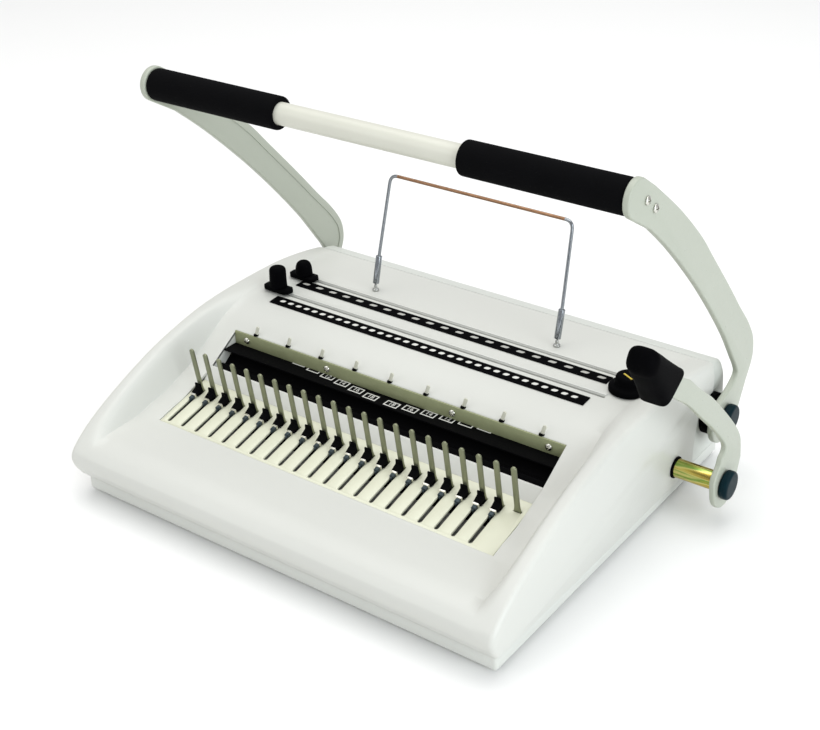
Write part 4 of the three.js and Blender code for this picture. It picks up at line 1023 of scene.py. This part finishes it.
class BuildCombDeck(bpy.types.Operator):
    """Builds the comb plate, its 22 pins and its 21 hooks"""
    bl_idname = "binder.comb_deck"
    bl_label = "Comb deck"

    def execute(self, context):
        edge = context.scene.binder_sizes.plate_edge / MM
        deck = deck_frame(PLATE_PLACE)
        first = -(PIN_COUNT - 1) / 2 * COMB_PITCH
        sheet = slab(-PLATE_HALF, PLATE_HALF, 0, PLATE_LENGTH, -PLATE_THICK, 0, 0)
        half, narrow = OPENING_WIDTH / 2, SLOT_WIDTH / 2
        front = [(narrow * math.cos(t), SLOT_START + narrow * (1 + math.sin(t)))
                 for t in (math.pi * (1 + k / 8) for k in range(9))]
        rear = [(narrow, OPENING_START), (half, OPENING_START), (half, OPENING_END), (-half, OPENING_END),
                (-half, OPENING_START), (-narrow, OPENING_START)]
        last = [(-half, PIN_SEAT - 0.3), (half, PIN_SEAT - 0.3), (half, OPENING_END), (-half, OPENING_END)]
        holes = [(front + rear, first + k * COMB_PITCH) for k in range(HOOK_COUNT)] + [(last, -first)]
        cutters = joined(*(placed(prism(hole, -6, 6), Matrix.Translation((x, 0, 0))) for hole, x in holes))
        own = Matrix.Identity(4)
        plate = cut_away(mesh_from("sheet", sheet, own), mesh_from("slots", cutters, own))
        plate = weighted(plate, edge, angle=50)
        plate.transform(TO_FRAME @ deck)
        add_piece("comb_plate_painted", plate, "base", "comb_plate", ["comb_plate"], 50)
        tip = [(x, PIN_HEIGHT - PIN_TIP + z) for x, z in circle(PIN_TIP, 32)[:17]]
        outline = PIN_EDGE + tip + [(-x, z) for x, z in reversed(PIN_EDGE)]
        flat = sweep(outline, -PIN_THICK / 2, PIN_THICK / 2, 0.35, 3)
        upright = placed(flat, Matrix(((0, 1, 0, 0), (1, 0, 0, 0), (0, 0, 1, 0), (0, 0, 0, 1))))
        turn = Matrix.Rotation(math.radians(PIN_LEAN), 4, "X")
        bent = [tuple(turn @ Vector(p)) if p[2] > 0 else p for p in upright[0]], upright[1]
        finger = placed(bent, Matrix.Translation((0, PIN_SEAT + PIN_THICK / 2, 0)))
        row_start, step = (first, 0, 0), (COMB_PITCH, 0, 0)
        pins = row_of(mesh_from("pin", placed(finger, deck)), PIN_COUNT, row_start, step, "pin_steel")
        strip = slab(first - 5, -first + 5, PIN_SEAT + RAKE_FRONT, PIN_SEAT + RAKE_REAR, -4.1, -2.3)
        rake = merged(pins, finished(mesh_from("strip", placed(strip, deck)), "oxide"))
        add_piece("comb_pins", rake, "base", "pin_steel", ["pin_rake"], keep_finish=True)
        stem = soften([(HOOK_AT + y, z) for y, z in HOOK_STEM], 0.8, 3, True)
        blade = sweep(stem, -HOOK_THICK / 2, HOOK_THICK / 2, 0.2, 2)
        shoulder = slab(-1.9, 1.9, HOOK_AT - 3.4, HOOK_AT, 0.3, 2.2, 0.3)
        head = slab(-HOOK_HEAD_HALF, HOOK_HEAD_HALF, HOOK_AT - 0.4, HOOK_AT + 1.4, 0.3, HOOK_HEAD_TALL, 0.35)
        front, rear = HOOK_AT + 1.2, PIN_SEAT - 0.4
        side = soften([(front, 0.35), (front, 3.2), (PIN_SEAT - 2.2, 5.2), (PIN_SEAT - 1.7, HOOK_BACK_TALL),
                       (rear, HOOK_BACK_TALL), (rear, 0.35)], 0.7, 3, True)
        back = sweep(side, -HOOK_BACK_HALF, HOOK_BACK_HALF, 0.3, 2)
        rows = [row_of(mesh_from("hook", placed(shape, deck)), HOOK_COUNT, row_start, step, finish)
                for shape, finish in ((joined(blade, shoulder), "blued"), (head, "bright"), (back, "oxide"))]
        bar = slab(-CARRIAGE_HALF, CARRIAGE_HALF, HOOK_AT - 6, HOOK_AT + 6, -9.5, -7)
        carriage = merged(*rows, finished(mesh_from("bar", placed(bar, deck)), "oxide"))
        add_piece("comb_hooks", carriage, "hooks", "bright", ["hook_carriage"], keep_finish=True)
        return {"FINISHED"}


def screw_head(radius):
    """A pan head with a cross recess, its axis along Z and its seat at the origin, in millimetres."""
    profile = [(r * radius, z * radius) for r, z in SCREW_PROFILE]
    own = Matrix.Identity(4)
    head = mesh_from("head", lathe(soften(profile, radius * 0.25), 32, "Z"), own)
    arm, width = radius * 0.62, radius * 0.13
    for x, y in ((arm, width), (width, arm)):
        head = cut_away(head, mesh_from("cross", slab(-x, x, -y, y, radius * 0.3, radius, 0), own))
    return head


def seated(mesh, place, turn, axis):
    """A mesh in millimetres turned by so many degrees about one axis, then set in its place in the drawing."""
    mesh.transform(TO_FRAME @ Matrix.Translation(place) @ Matrix.Rotation(math.radians(turn), 4, axis))
    return mesh


class BuildTrough(bpy.types.Operator):
    """Builds the trough plate, closing bar, jaw strip with its four screws and the nine wire pins"""
    bl_idname = "binder.trough"
    bl_label = "Trough"

    def execute(self, context):
        sizes = context.scene.binder_sizes
        eased_node("trough_plate", "trough_plate_black", "base", "oxide", 0.2 * MM)
        eased_node("closing_bar", "closing_bar_black", "closer", "oxide", 0.3 * MM)
        eased_node("jaw_strip", "jaw_strip_plated", "base", "olive", 0.3 * MM)
        for name, place in JAW_SCREWS:
            head = seated(screw_head(sizes.screw_radius / MM * 0.9), (0, *JAW_SCREW_PLACE), 90, "X")
            pair = row_of(head, 2, (-place, 0, 0), (2 * place, 0, 0), "bright")
            add_piece(f"jaw_screws_{name}", pair, "base", "bright")
        y = WIRE_PIN_Y
        foot = deck_height(y)
        lean = Matrix(((0, 1, WIRE_PIN_LEAN, 0), (1, 0, 0, y), (0, 0, 1, foot), (0, 0, 0, 1)))
        flag = sweep(soften(WIRE_PIN_FLAG, 0.8, 3, True), -0.6, 0.6, 0.25, 2)
        # Black rings round the pin feet are painted shadow
        ring = lathe(WIRE_PIN_SHADOW_RING, 20, "Z", (0, y, foot))
        start, step = (-(WIRE_PIN_COUNT - 1) / 2 * WIRE_PIN_PITCH, 0, 0), (WIRE_PIN_PITCH, 0, 0)
        pins, rings = (row_of(mesh_from("pin", shape), WIRE_PIN_COUNT, start, step, finish)
                       for shape, finish in ((placed(flag, lean), "wire_pin"), (ring, "oxide")))
        rail = slab(-RAIL_HALF, RAIL_HALF, y - 1, y + 2.6, foot - 9.3, foot - 5.7)
        both = merged(pins, finished(mesh_from("rail", rail), "olive"))
        add_piece("wire_pins", both, "base", "olive", ["wire_pin_rail"], keep_finish=True)
        add_piece("wire_pin_holes", rings, "base", "oxide")
        return {"FINISHED"}


def draped_marks(outline, radius, start, count, pitch, first, finish):
    """The mesh of a row of flat marks that lie on a scale strip whose front edge is at start."""
    rings = [[(x, start + y, deck_height(start + y) + STRIP_TOP + rise) for x, y in soften(outline, radius, 3, True)]
             for rise in (0, MARK_THICK)]
    return row_of(mesh_from("mark", loft(rings)), count, (first, 0, 0), (pitch, 0, 0), finish)


class BuildScales(bpy.types.Operator):
    """Builds the two scale strips with their marks and the numbered boxes in the trough"""
    bl_idname = "binder.scales"
    bl_label = "Scales and numbers"

    def execute(self, context):
        eased_node("wire_scale_strip", "wire_scale_black", "base", "plastic", 0.12 * MM)
        eased_node("comb_scale_strip", "comb_scale_black", "base", "plastic", 0.12 * MM)
        slanted = draped_marks(WIRE_MARK, 1.4, WIRE_STRIP_FRONT, WIRE_MARK_COUNT, WIRE_PITCH, WIRE_MARK_FIRST, "ink")
        add_piece("wire_scale_marks", slanted, "base", "ink")
        lozenges = draped_marks(COMB_MARK, 1.3, COMB_STRIP_FRONT, HOOK_COUNT, COMB_PITCH, COMB_MARK_FIRST,
                                "grey_ink")
        add_piece("comb_scale_marks", lozenges, "base", "grey_ink")
        shelf = slab(-PLATE_HALF, PLATE_HALF, NUMBER_FRONT - 2.4, NUMBER_REAR, NUMBER_TOP - 1.2, NUMBER_TOP, 0.15)
        add_piece("number_shelf", mesh_from("shelf", shelf), "base", "oxide")
        meshes = []
        for side, k in [(-1, k) for k in range(5, -1, -1)] + [(1, k) for k in range(6)]:
            x, y = side * (NUMBER_FIRST + NUMBER_PITCH * k), NUMBER_FRONT + NUMBER_STEP * k
            for edge, low, high, finish in ((0.0, 0.02, 0.12, "ink"), (1.0, 0.11, 0.15, "oxide")):
                near, far, half = y + edge, min(y + NUMBER_DEPTH - edge, NUMBER_REAR), NUMBER_HALF - edge
                if far > near:
                    outline = [(x - half, near), (x + half, near), (x + half, far), (x - half, far)]
                    flat = prism(outline, NUMBER_TOP + low, NUMBER_TOP + high)
                    meshes.append(finished(mesh_from("box", flat), finish))
            if k < 4:
                text = bpy.data.curves.new("number", "FONT")
                text.body, text.size, text.align_x, text.align_y = str(18 - 2 * k), NUMBER_SIZE, "CENTER", "CENTER"
                text.extrude, text.resolution_u = 0.04, 3
                mesh = baked(bpy.data.objects.new("number", text))
                seated(mesh, (x, y + NUMBER_DEPTH / 2, NUMBER_TOP + 0.2), 0, "Z")
                meshes.append(finished(mesh, "ink"))
        add_piece("trough_numbers", merged(*meshes), "base", "ink", keep_finish=True)
        return {"FINISHED"}


def arm_outline(outer_shares, inner_shares, reach, rise, foot, tip):
    """An arm's closed outline from its two edges and its rounded foot and tip."""
    outer, inner = (curve_through(scaled(shares, reach, rise), ARM_STEPS) for shares in (outer_shares, inner_shares))
    return outer + foot + inner + tip


class BuildHandle(bpy.types.Operator):
    """Builds the punching handle: arms, tube, grips, collars, sleeves, caps and four screws"""
    bl_idname = "binder.handle"
    bl_label = "Punching handle"

    def execute(self, context):
        sizes = context.scene.binder_sizes
        place = TO_FRAME @ deck_frame(SHAFT_PLACE)
        foot = arc(0, 0, ARM_FOOT_RADIUS, -22.5, -157.5, 18)
        tip = arc(-ARM_REACH, ARM_RISE, ARM_TIP_RADIUS, ARM_TIP_FROM, ARM_TIP_TO)
        outline = arm_outline(ARM_OUTER_SHARES, ARM_INNER_SHARES, ARM_REACH, ARM_RISE, foot, tip)
        arm = sweep(outline, ARM_INNER, ARM_OUTER, sizes.arm_round / MM, 5)
        dish = sweep(inset(outline, ARM_RIM), ARM_INNER - 2, ARM_INNER + ARM_RECESS, 0.0, 1)
        bore = rod(ARM_BORE, -230, 230, 40)
        tube_end = Matrix.Translation((0, -ARM_REACH, ARM_RISE))
        collar = tube(SHAFT_BORE, *COLLAR_RING, 0.7, 72)
        sleeve = tube(SHAFT_BORE, *SLEEVE_RING, 0.5, 64)
        cap = cap_shape(ARM_OUTER + SEAT_GAP, CAP_LENGTH, CAP_RADIUS)
        foam = placed(lathe(soften(FOAM_PROFILE, 0.9, 4), 72), tube_end)
        for side in ("right", "left"):
            turn = (lambda shape: shape) if side == "right" else mirrored
            mesh = cut_away(mesh_from("arm", turn(arm), place), mesh_from("bore", bore, place))
            mesh = weighted(cut_away(mesh, mesh_from("dish", turn(dish), place)))
            add_piece(f"handle_arm_{side}", mesh, "handle", "arms", [f"main_arm_{side}"])
            for name, shape, body, slot, finish, node in (
                ("shaft_collar", collar, "base", "black_plastic", "plastic", "shaft_collar"),
                ("zinc_sleeve", sleeve, "handle", "yellow_zinc", "yellow", "shaft_sleeve"),
                ("end_cap", cap, "handle", "cap_plastic", "caps", "shaft_cap"),
                ("foam_grip", foam, "handle", "foam", "foam", "handle_grip"),
            ):
                mesh = mesh_from(name, turn(shape), place)
                add_piece(f"{name}_{side}_moulded", mesh, body, finish, [f"{node}_{side}"])
        end = ARM_INNER - SEAT_GAP
        tab = sweep(soften(TAB_OUTLINE, 4, 4, True), end - FLANGE_THICK, end, 0.6, 3)
        tab = placed(tab, Matrix.Rotation(math.radians(TAB_TURN), 4, "X"))
        ends = joined(tube(TUBE_INNER, FLANGE_RADIUS, end - FLANGE_THICK, end, 0.6, 64), tab)
        whole = joined(tube(TUBE_INNER, TUBE_RADIUS, -end, end, 0.4, 64), ends, mirrored(ends))
        mesh = mesh_from("tube", placed(whole, tube_end), place)
        add_piece("handle_tube_painted", mesh, "handle", "tube", ["handle_tube"])
        for side, sign in (("right", 1), ("left", -1)):
            head = seated(screw_head(sizes.screw_radius / MM), (sign * ARM_OUTER, *ARM_SCREWS), sign * 90, "Y")
            pair = row_of(head, 2, (0, 0, 0), ARM_SCREW_STEP, "bright")
            add_piece(f"arm_screws_{side}", pair, "handle", "bright")
        return {"FINISHED"}


def grip_shape():
    """The lever's moulded grip: rounded slices from the arm out to a domed tip."""
    upper = curve_through(scaled(GRIP_UPPER_SHARES, LEVER_REACH, LEVER_RISE), 6)
    lower = curve_through(scaled(GRIP_LOWER_SHARES, LEVER_REACH, LEVER_RISE), 6)
    pairs = [(Vector(u), Vector(w)) for u, w in zip(upper, lower)]
    slices = []
    along = ((pairs[1][0] + pairs[1][1]) - (pairs[0][0] + pairs[0][1])).normalized()
    for drawn, out in ((1.6, 0.0), (0.6, 0.35), (0.15, 0.9), (0, 1.6)):
        slices.append((pairs[0][0] + along * out, pairs[0][1] + along * out, drawn))
    slices += [(u, w, 0) for u, w in pairs[2:]]
    along = ((pairs[-1][0] + pairs[-1][1]) - (pairs[-4][0] + pairs[-4][1])).normalized()
    for k in range(1, 12):
        turn = math.pi / 2 * k / 12
        out = along * GRIP_TIP * math.sin(turn)
        slices.append((pairs[-1][0] + out, pairs[-1][1] + out, GRIP_DOME * (1 - math.cos(turn) ** 0.8)))
    middle, half, rings = (GRIP_INNER + GRIP_OUTER) / 2, (GRIP_OUTER - GRIP_INNER) / 2, []
    for step, (u, w, drawn) in enumerate(slices):
        centre, rise = (u + w) / 2, (u - w) / 2
        square = GRIP_SQUARE[0] + (GRIP_SQUARE[1] - GRIP_SQUARE[0]) * min(1, step / 16)
        wide, tall, ring = half - drawn, rise.length - drawn, []
        for c, d in circle(1, 56):
            across = math.copysign(abs(c) ** square, c) * wide
            up = centre + rise.normalized() * math.copysign(abs(d) ** square, d) * tall
            ring.append((middle + across, up.x, up.y))
        rings.append(ring)
    return loft(rings)


class BuildLever(bpy.types.Operator):
    """Builds the comb lever: arm, grip, cap, washer and sleeve"""
    bl_idname = "binder.lever"
    bl_label = "Comb lever"

    def execute(self, context):
        sizes = context.scene.binder_sizes
        place = TO_FRAME @ deck_frame(LEVER_PLACE)
        outline = arm_outline(LEVER_OUTER_SHARES, LEVER_INNER_SHARES, LEVER_REACH, LEVER_RISE,
                              arc(*LEVER_FOOT, -8, -168), [])
        arm = sweep(outline, LEVER_INNER, LEVER_OUTER, sizes.arm_round / MM, 5)
        splay = Matrix.Identity(4)
        splay[0][2], splay[0][3] = -LEVER_SPLAY / (LEVER_RISE * 0.7), LEVER_SPLAY
        bore = mesh_from("bore", rod(LEVER_BORE, 220, 245, 40), place)
        plate = cut_away(weighted(mesh_from("arm", placed(arm, splay), place)), bore)
        add_piece("lever_arm_painted", plate, "lever", "arms", ["lever_arm"])
        grip = mesh_from("grip", grip_shape(), place)
        add_piece("lever_grip_moulded", weighted(grip), "lever", "plastic", ["lever_grip"], 50)
        for name, radius, start, end, finish, slot in (
            ("lever_washer", LEVER_SLEEVE + 1.2, 197.2, 198.6, "plastic", "black_plastic"),
            ("lever_sleeve", LEVER_SLEEVE, 198.8, LEVER_INNER + LEVER_SPLAY - SEAT_GAP, "yellow", "yellow_zinc"),
        ):
            mesh = mesh_from(name, tube(LEVER_BORE, radius, start, end, 0.4, 56), place)
            add_piece(f"{name}_turned", mesh, "lever", finish, [name])
        cap = cap_shape(LEVER_OUTER + LEVER_SPLAY + SEAT_GAP, LEVER_CAP_LENGTH, CAP_RADIUS)
        cap = mesh_from("cap", cap, place)
        add_piece("lever_cap_moulded", cap, "lever", "caps", ["lever_cap"])
        return {"FINISHED"}


class BuildControls(bpy.types.Operator):
    """Builds the two edge guides with their knobs, and the selector dial with its pointer"""
    bl_idname = "binder.controls"
    bl_label = "Guides and dial"

    def execute(self, context):
        r = KNOB_RADIUS
        for label, tall, top in KNOBS:
            slide, node = f"{label}_guide_slide", f"{label}_guide_knob"
            eased_node(slide, f"{slide}_moulded", f"{label}_guide", "plastic", 0.7 * MM)
            profile = [(0, 0), (r * 1.05, 0), (r, tall * 0.2), (r * 0.97, tall * (1 - top)),
                       (r * 0.82, tall * (1 - top / 3)), (r * 0.5, tall), (0, tall)]
            knob = mesh_from("knob", lathe(soften(profile, 1.3, 4), 64, "Z", seat_of(node)))
            add_piece(f"{node}_moulded", knob, f"{label}_knob", "plastic", [node])
        x, y, z = seat_of("selector_dial")
        dial = mesh_from("dial", lathe(soften(DIAL_PROFILE, 0.9, 4), 80, "Z", (x, y, z)))
        add_piece("selector_dial_moulded", dial, "dial", "plastic", ["selector_dial"])
        mark = mesh_from("pointer", slab(*DIAL_MARK_BOX, 0.05), Matrix.Identity(4))
        seated(mark, (x + DIAL_MARK_PLACE[0], y + DIAL_MARK_PLACE[1], z), DIAL_MARK_TURN, "Z")
        add_piece("dial_pointer", mark, "dial", "yellow_ink")
        return {"FINISHED"}


class BuildBail(bpy.types.Operator):
    """Bends the wire bail and turns its two sleeves and sockets"""
    bl_idname = "binder.bail"
    bl_label = "Wire bail"

    def execute(self, context):
        radius = context.scene.binder_sizes.wire_radius / MM
        hinge = deck_height(BAIL_Y) + BAIL_HINGE_RISE
        place = deck_frame((BAIL_Y, hinge, BAIL_LEAN))
        corner = [(BAIL_HALF, BAIL_START), (BAIL_HALF, BAIL_STRAIGHT), (BAIL_TOP_HALF, BAIL_HEIGHT - 0.01),
                  (0, BAIL_HEIGHT)]
        half = soften(corner, BAIL_BEND, 8)
        line = half[:-1] + [(-x, z) for x, z in reversed(half)]
        rings = [[(x + u * nx, v, z + u * nz) for u, v in circle(radius, 16)]
                 for (x, z), (nx, nz) in zip(line, side_normals(line))]
        mesh = mesh_from("bail", placed(loft(rings), place))
        mesh.materials.append(MATERIALS["chrome"])
        mesh.materials.append(MATERIALS["copper"])
        top = (TO_FRAME @ place @ Vector((0, 0, BAIL_HEIGHT - 3.2))).z
        for face in mesh.polygons:
            across = abs((TO_FRAME.inverted() @ face.center).x)
            face.material_index = int(face.center.z > top and across < COPPER_HALF)
        add_piece("bail_wire_bent", mesh, "bail", "chrome", ["wire_bail"], 40, True)
        sleeve = soften(BAIL_SLEEVE, 0.4, 3)
        foot = deck_height(BAIL_Y)
        socket = soften([(0, foot + 0.3), (2.9, foot + 0.3), (2.8, hinge - 2.9), (1.4, hinge - 2.5), (1.4, hinge),
                         (1, hinge + 1), (0, hinge + 1.4)], 0.5, 3)
        for side, x in (("right", BAIL_HALF), ("left", -BAIL_HALF)):
            mesh = mesh_from("sleeve", placed(lathe(sleeve, 40, "Z", (x, 0, 0)), place))
            add_piece(f"bail_sleeve_{side}_turned", mesh, "bail", "chrome", [f"bail_sleeve_{side}"])
            mesh = mesh_from("socket", lathe(socket, 40, "Z", (x, BAIL_Y, 0)))
            add_piece(f"bail_socket_{side}_turned", mesh, "base", "steel", [f"bail_socket_{side}"])
        return {"FINISHED"}


class FinishWorks(bpy.types.Operator):
    """Gives the inner works and the chip tray their surfaces"""
    bl_idname = "binder.works"
    bl_label = "Inner works"

    def execute(self, context):
        pairs = [f"{name}_{side}" for name in ("frame_plate", "hook_rod", "punch_slide", "drive_cam")
                 for side in ("right", "left")]
        refinish("steel", *pairs, "wire_die", "comb_die", "wire_punch_bar", "comb_punch_bar", "main_shaft",
                 "lever_shaft")
        eased_node("chip_tray", "chip_tray_moulded", "tray", "plastic", 0.4 * MM)
        return {"FINISHED"}


class BuildStage(bpy.types.Operator):
    """Sets the floor, the soft lights and the camera"""
    bl_idname = "binder.stage"
    bl_label = "Stage"

    def execute(self, context):
        scene = context.scene
        mesh = bpy.data.meshes.new("floor")
        corners = [(x * FLOOR_HALF, y * FLOOR_HALF, 0) for x, y in ((-1, -1), (1, -1), (1, 1), (-1, 1))]
        mesh.from_pydata(corners, [], [(0, 1, 2, 3)])
        floor = bpy.data.objects.new("floor", mesh)
        scene.collection.objects.link(floor)
        # Matt background paper: nearly white, no gloss
        paper = grained("Paper_floor_white", linear("#F4F4F3"), linear("#F1F1F0"), 4.0, 0.01, 0.9, 0.02, 900)
        mesh.materials.append(paper)
        world = bpy.data.worlds.new("studio")
        scene.world = world
        scene.view_settings.view_transform = "Standard"
        world.use_nodes = True
        sky = world.node_tree.nodes["Background"]
        sky.inputs["Color"].default_value = SKY_TINT
        sky.inputs["Strength"].default_value = SKY_STRENGTH
        for name, (place, size, power, tint) in LIGHTS.items():
            light = bpy.data.lights.new(name, "AREA")
            light.shape, light.size, light.energy, light.color = "SQUARE", size, power, tint
            lamp = bpy.data.objects.new(name, light)
            lamp.location = place
            lamp.rotation_euler = (Vector((0, 0, 0.1)) - Vector(place)).to_track_quat("-Z", "Y").to_euler()
            scene.collection.objects.link(lamp)
        turn, tilt, roll = (math.radians(a) for a in (CAMERA_TURN, CAMERA_TILT, CAMERA_ROLL))
        back = Vector((math.sin(turn) * math.cos(tilt), -math.cos(turn) * math.cos(tilt), math.sin(tilt)))
        right = Vector((0, 0, 1)).cross(back).normalized()
        up = back.cross(right)
        side, top = (math.cos(roll) * right + math.sin(roll) * up, math.cos(roll) * up - math.sin(roll) * right)
        data = bpy.data.cameras.new("photo_camera")
        data.lens, data.sensor_width, data.sensor_fit = CAMERA_LENS, SENSOR_WIDTH, "HORIZONTAL"
        data.clip_start, data.clip_end = 0.01, 50
        camera = bpy.data.objects.new("photo_camera", data)
        turned = Matrix((side, top, back)).transposed().to_4x4()
        camera.matrix_world = Matrix.Translation(CAMERA_PLACE) @ turned
        scene.collection.objects.link(camera)
        scene.camera = camera
        return {"FINISHED"}


STEPS = [BuildCasing, BuildCover, BuildFoot, BuildCombDeck, BuildTrough, BuildScales, BuildHandle, BuildLever,
         BuildControls, BuildBail, FinishWorks, BuildStage]


class BinderPanel(bpy.types.Panel):
    """Lists the steps that build the machine"""
    bl_idname = "VIEW3D_PT_binder"
    bl_label = "Binding machine"
    bl_space_type = "VIEW_3D"
    bl_region_type = "UI"
    bl_category = "Binder"

    def draw(self, context):
        for group in (context.scene.binder_sizes, context.scene.binder_colours):
            for key in group.__annotations__:
                self.layout.prop(group, key)
        for step in STEPS:
            self.layout.operator(step.bl_idname)


CLASSES = [BinderSizes, BinderColours, *STEPS, BinderPanel]


def register():
    for item in CLASSES:
        bpy.utils.register_class(item)
    bpy.types.Scene.binder_sizes = bpy.props.PointerProperty(type=BinderSizes)
    bpy.types.Scene.binder_colours = bpy.props.PointerProperty(type=BinderColours)


def unregister():
    del bpy.types.Scene.binder_colours
    del bpy.types.Scene.binder_sizes
    for item in reversed(CLASSES):
        bpy.utils.unregister_class(item)


def main():
    register()
    MATERIALS.update(make_materials(bpy.context.scene.binder_colours))
    for step in STEPS:
        group, name = step.bl_idname.split(".")
        getattr(getattr(bpy.ops, group), name)()


if __name__ == "__main__":
    main()
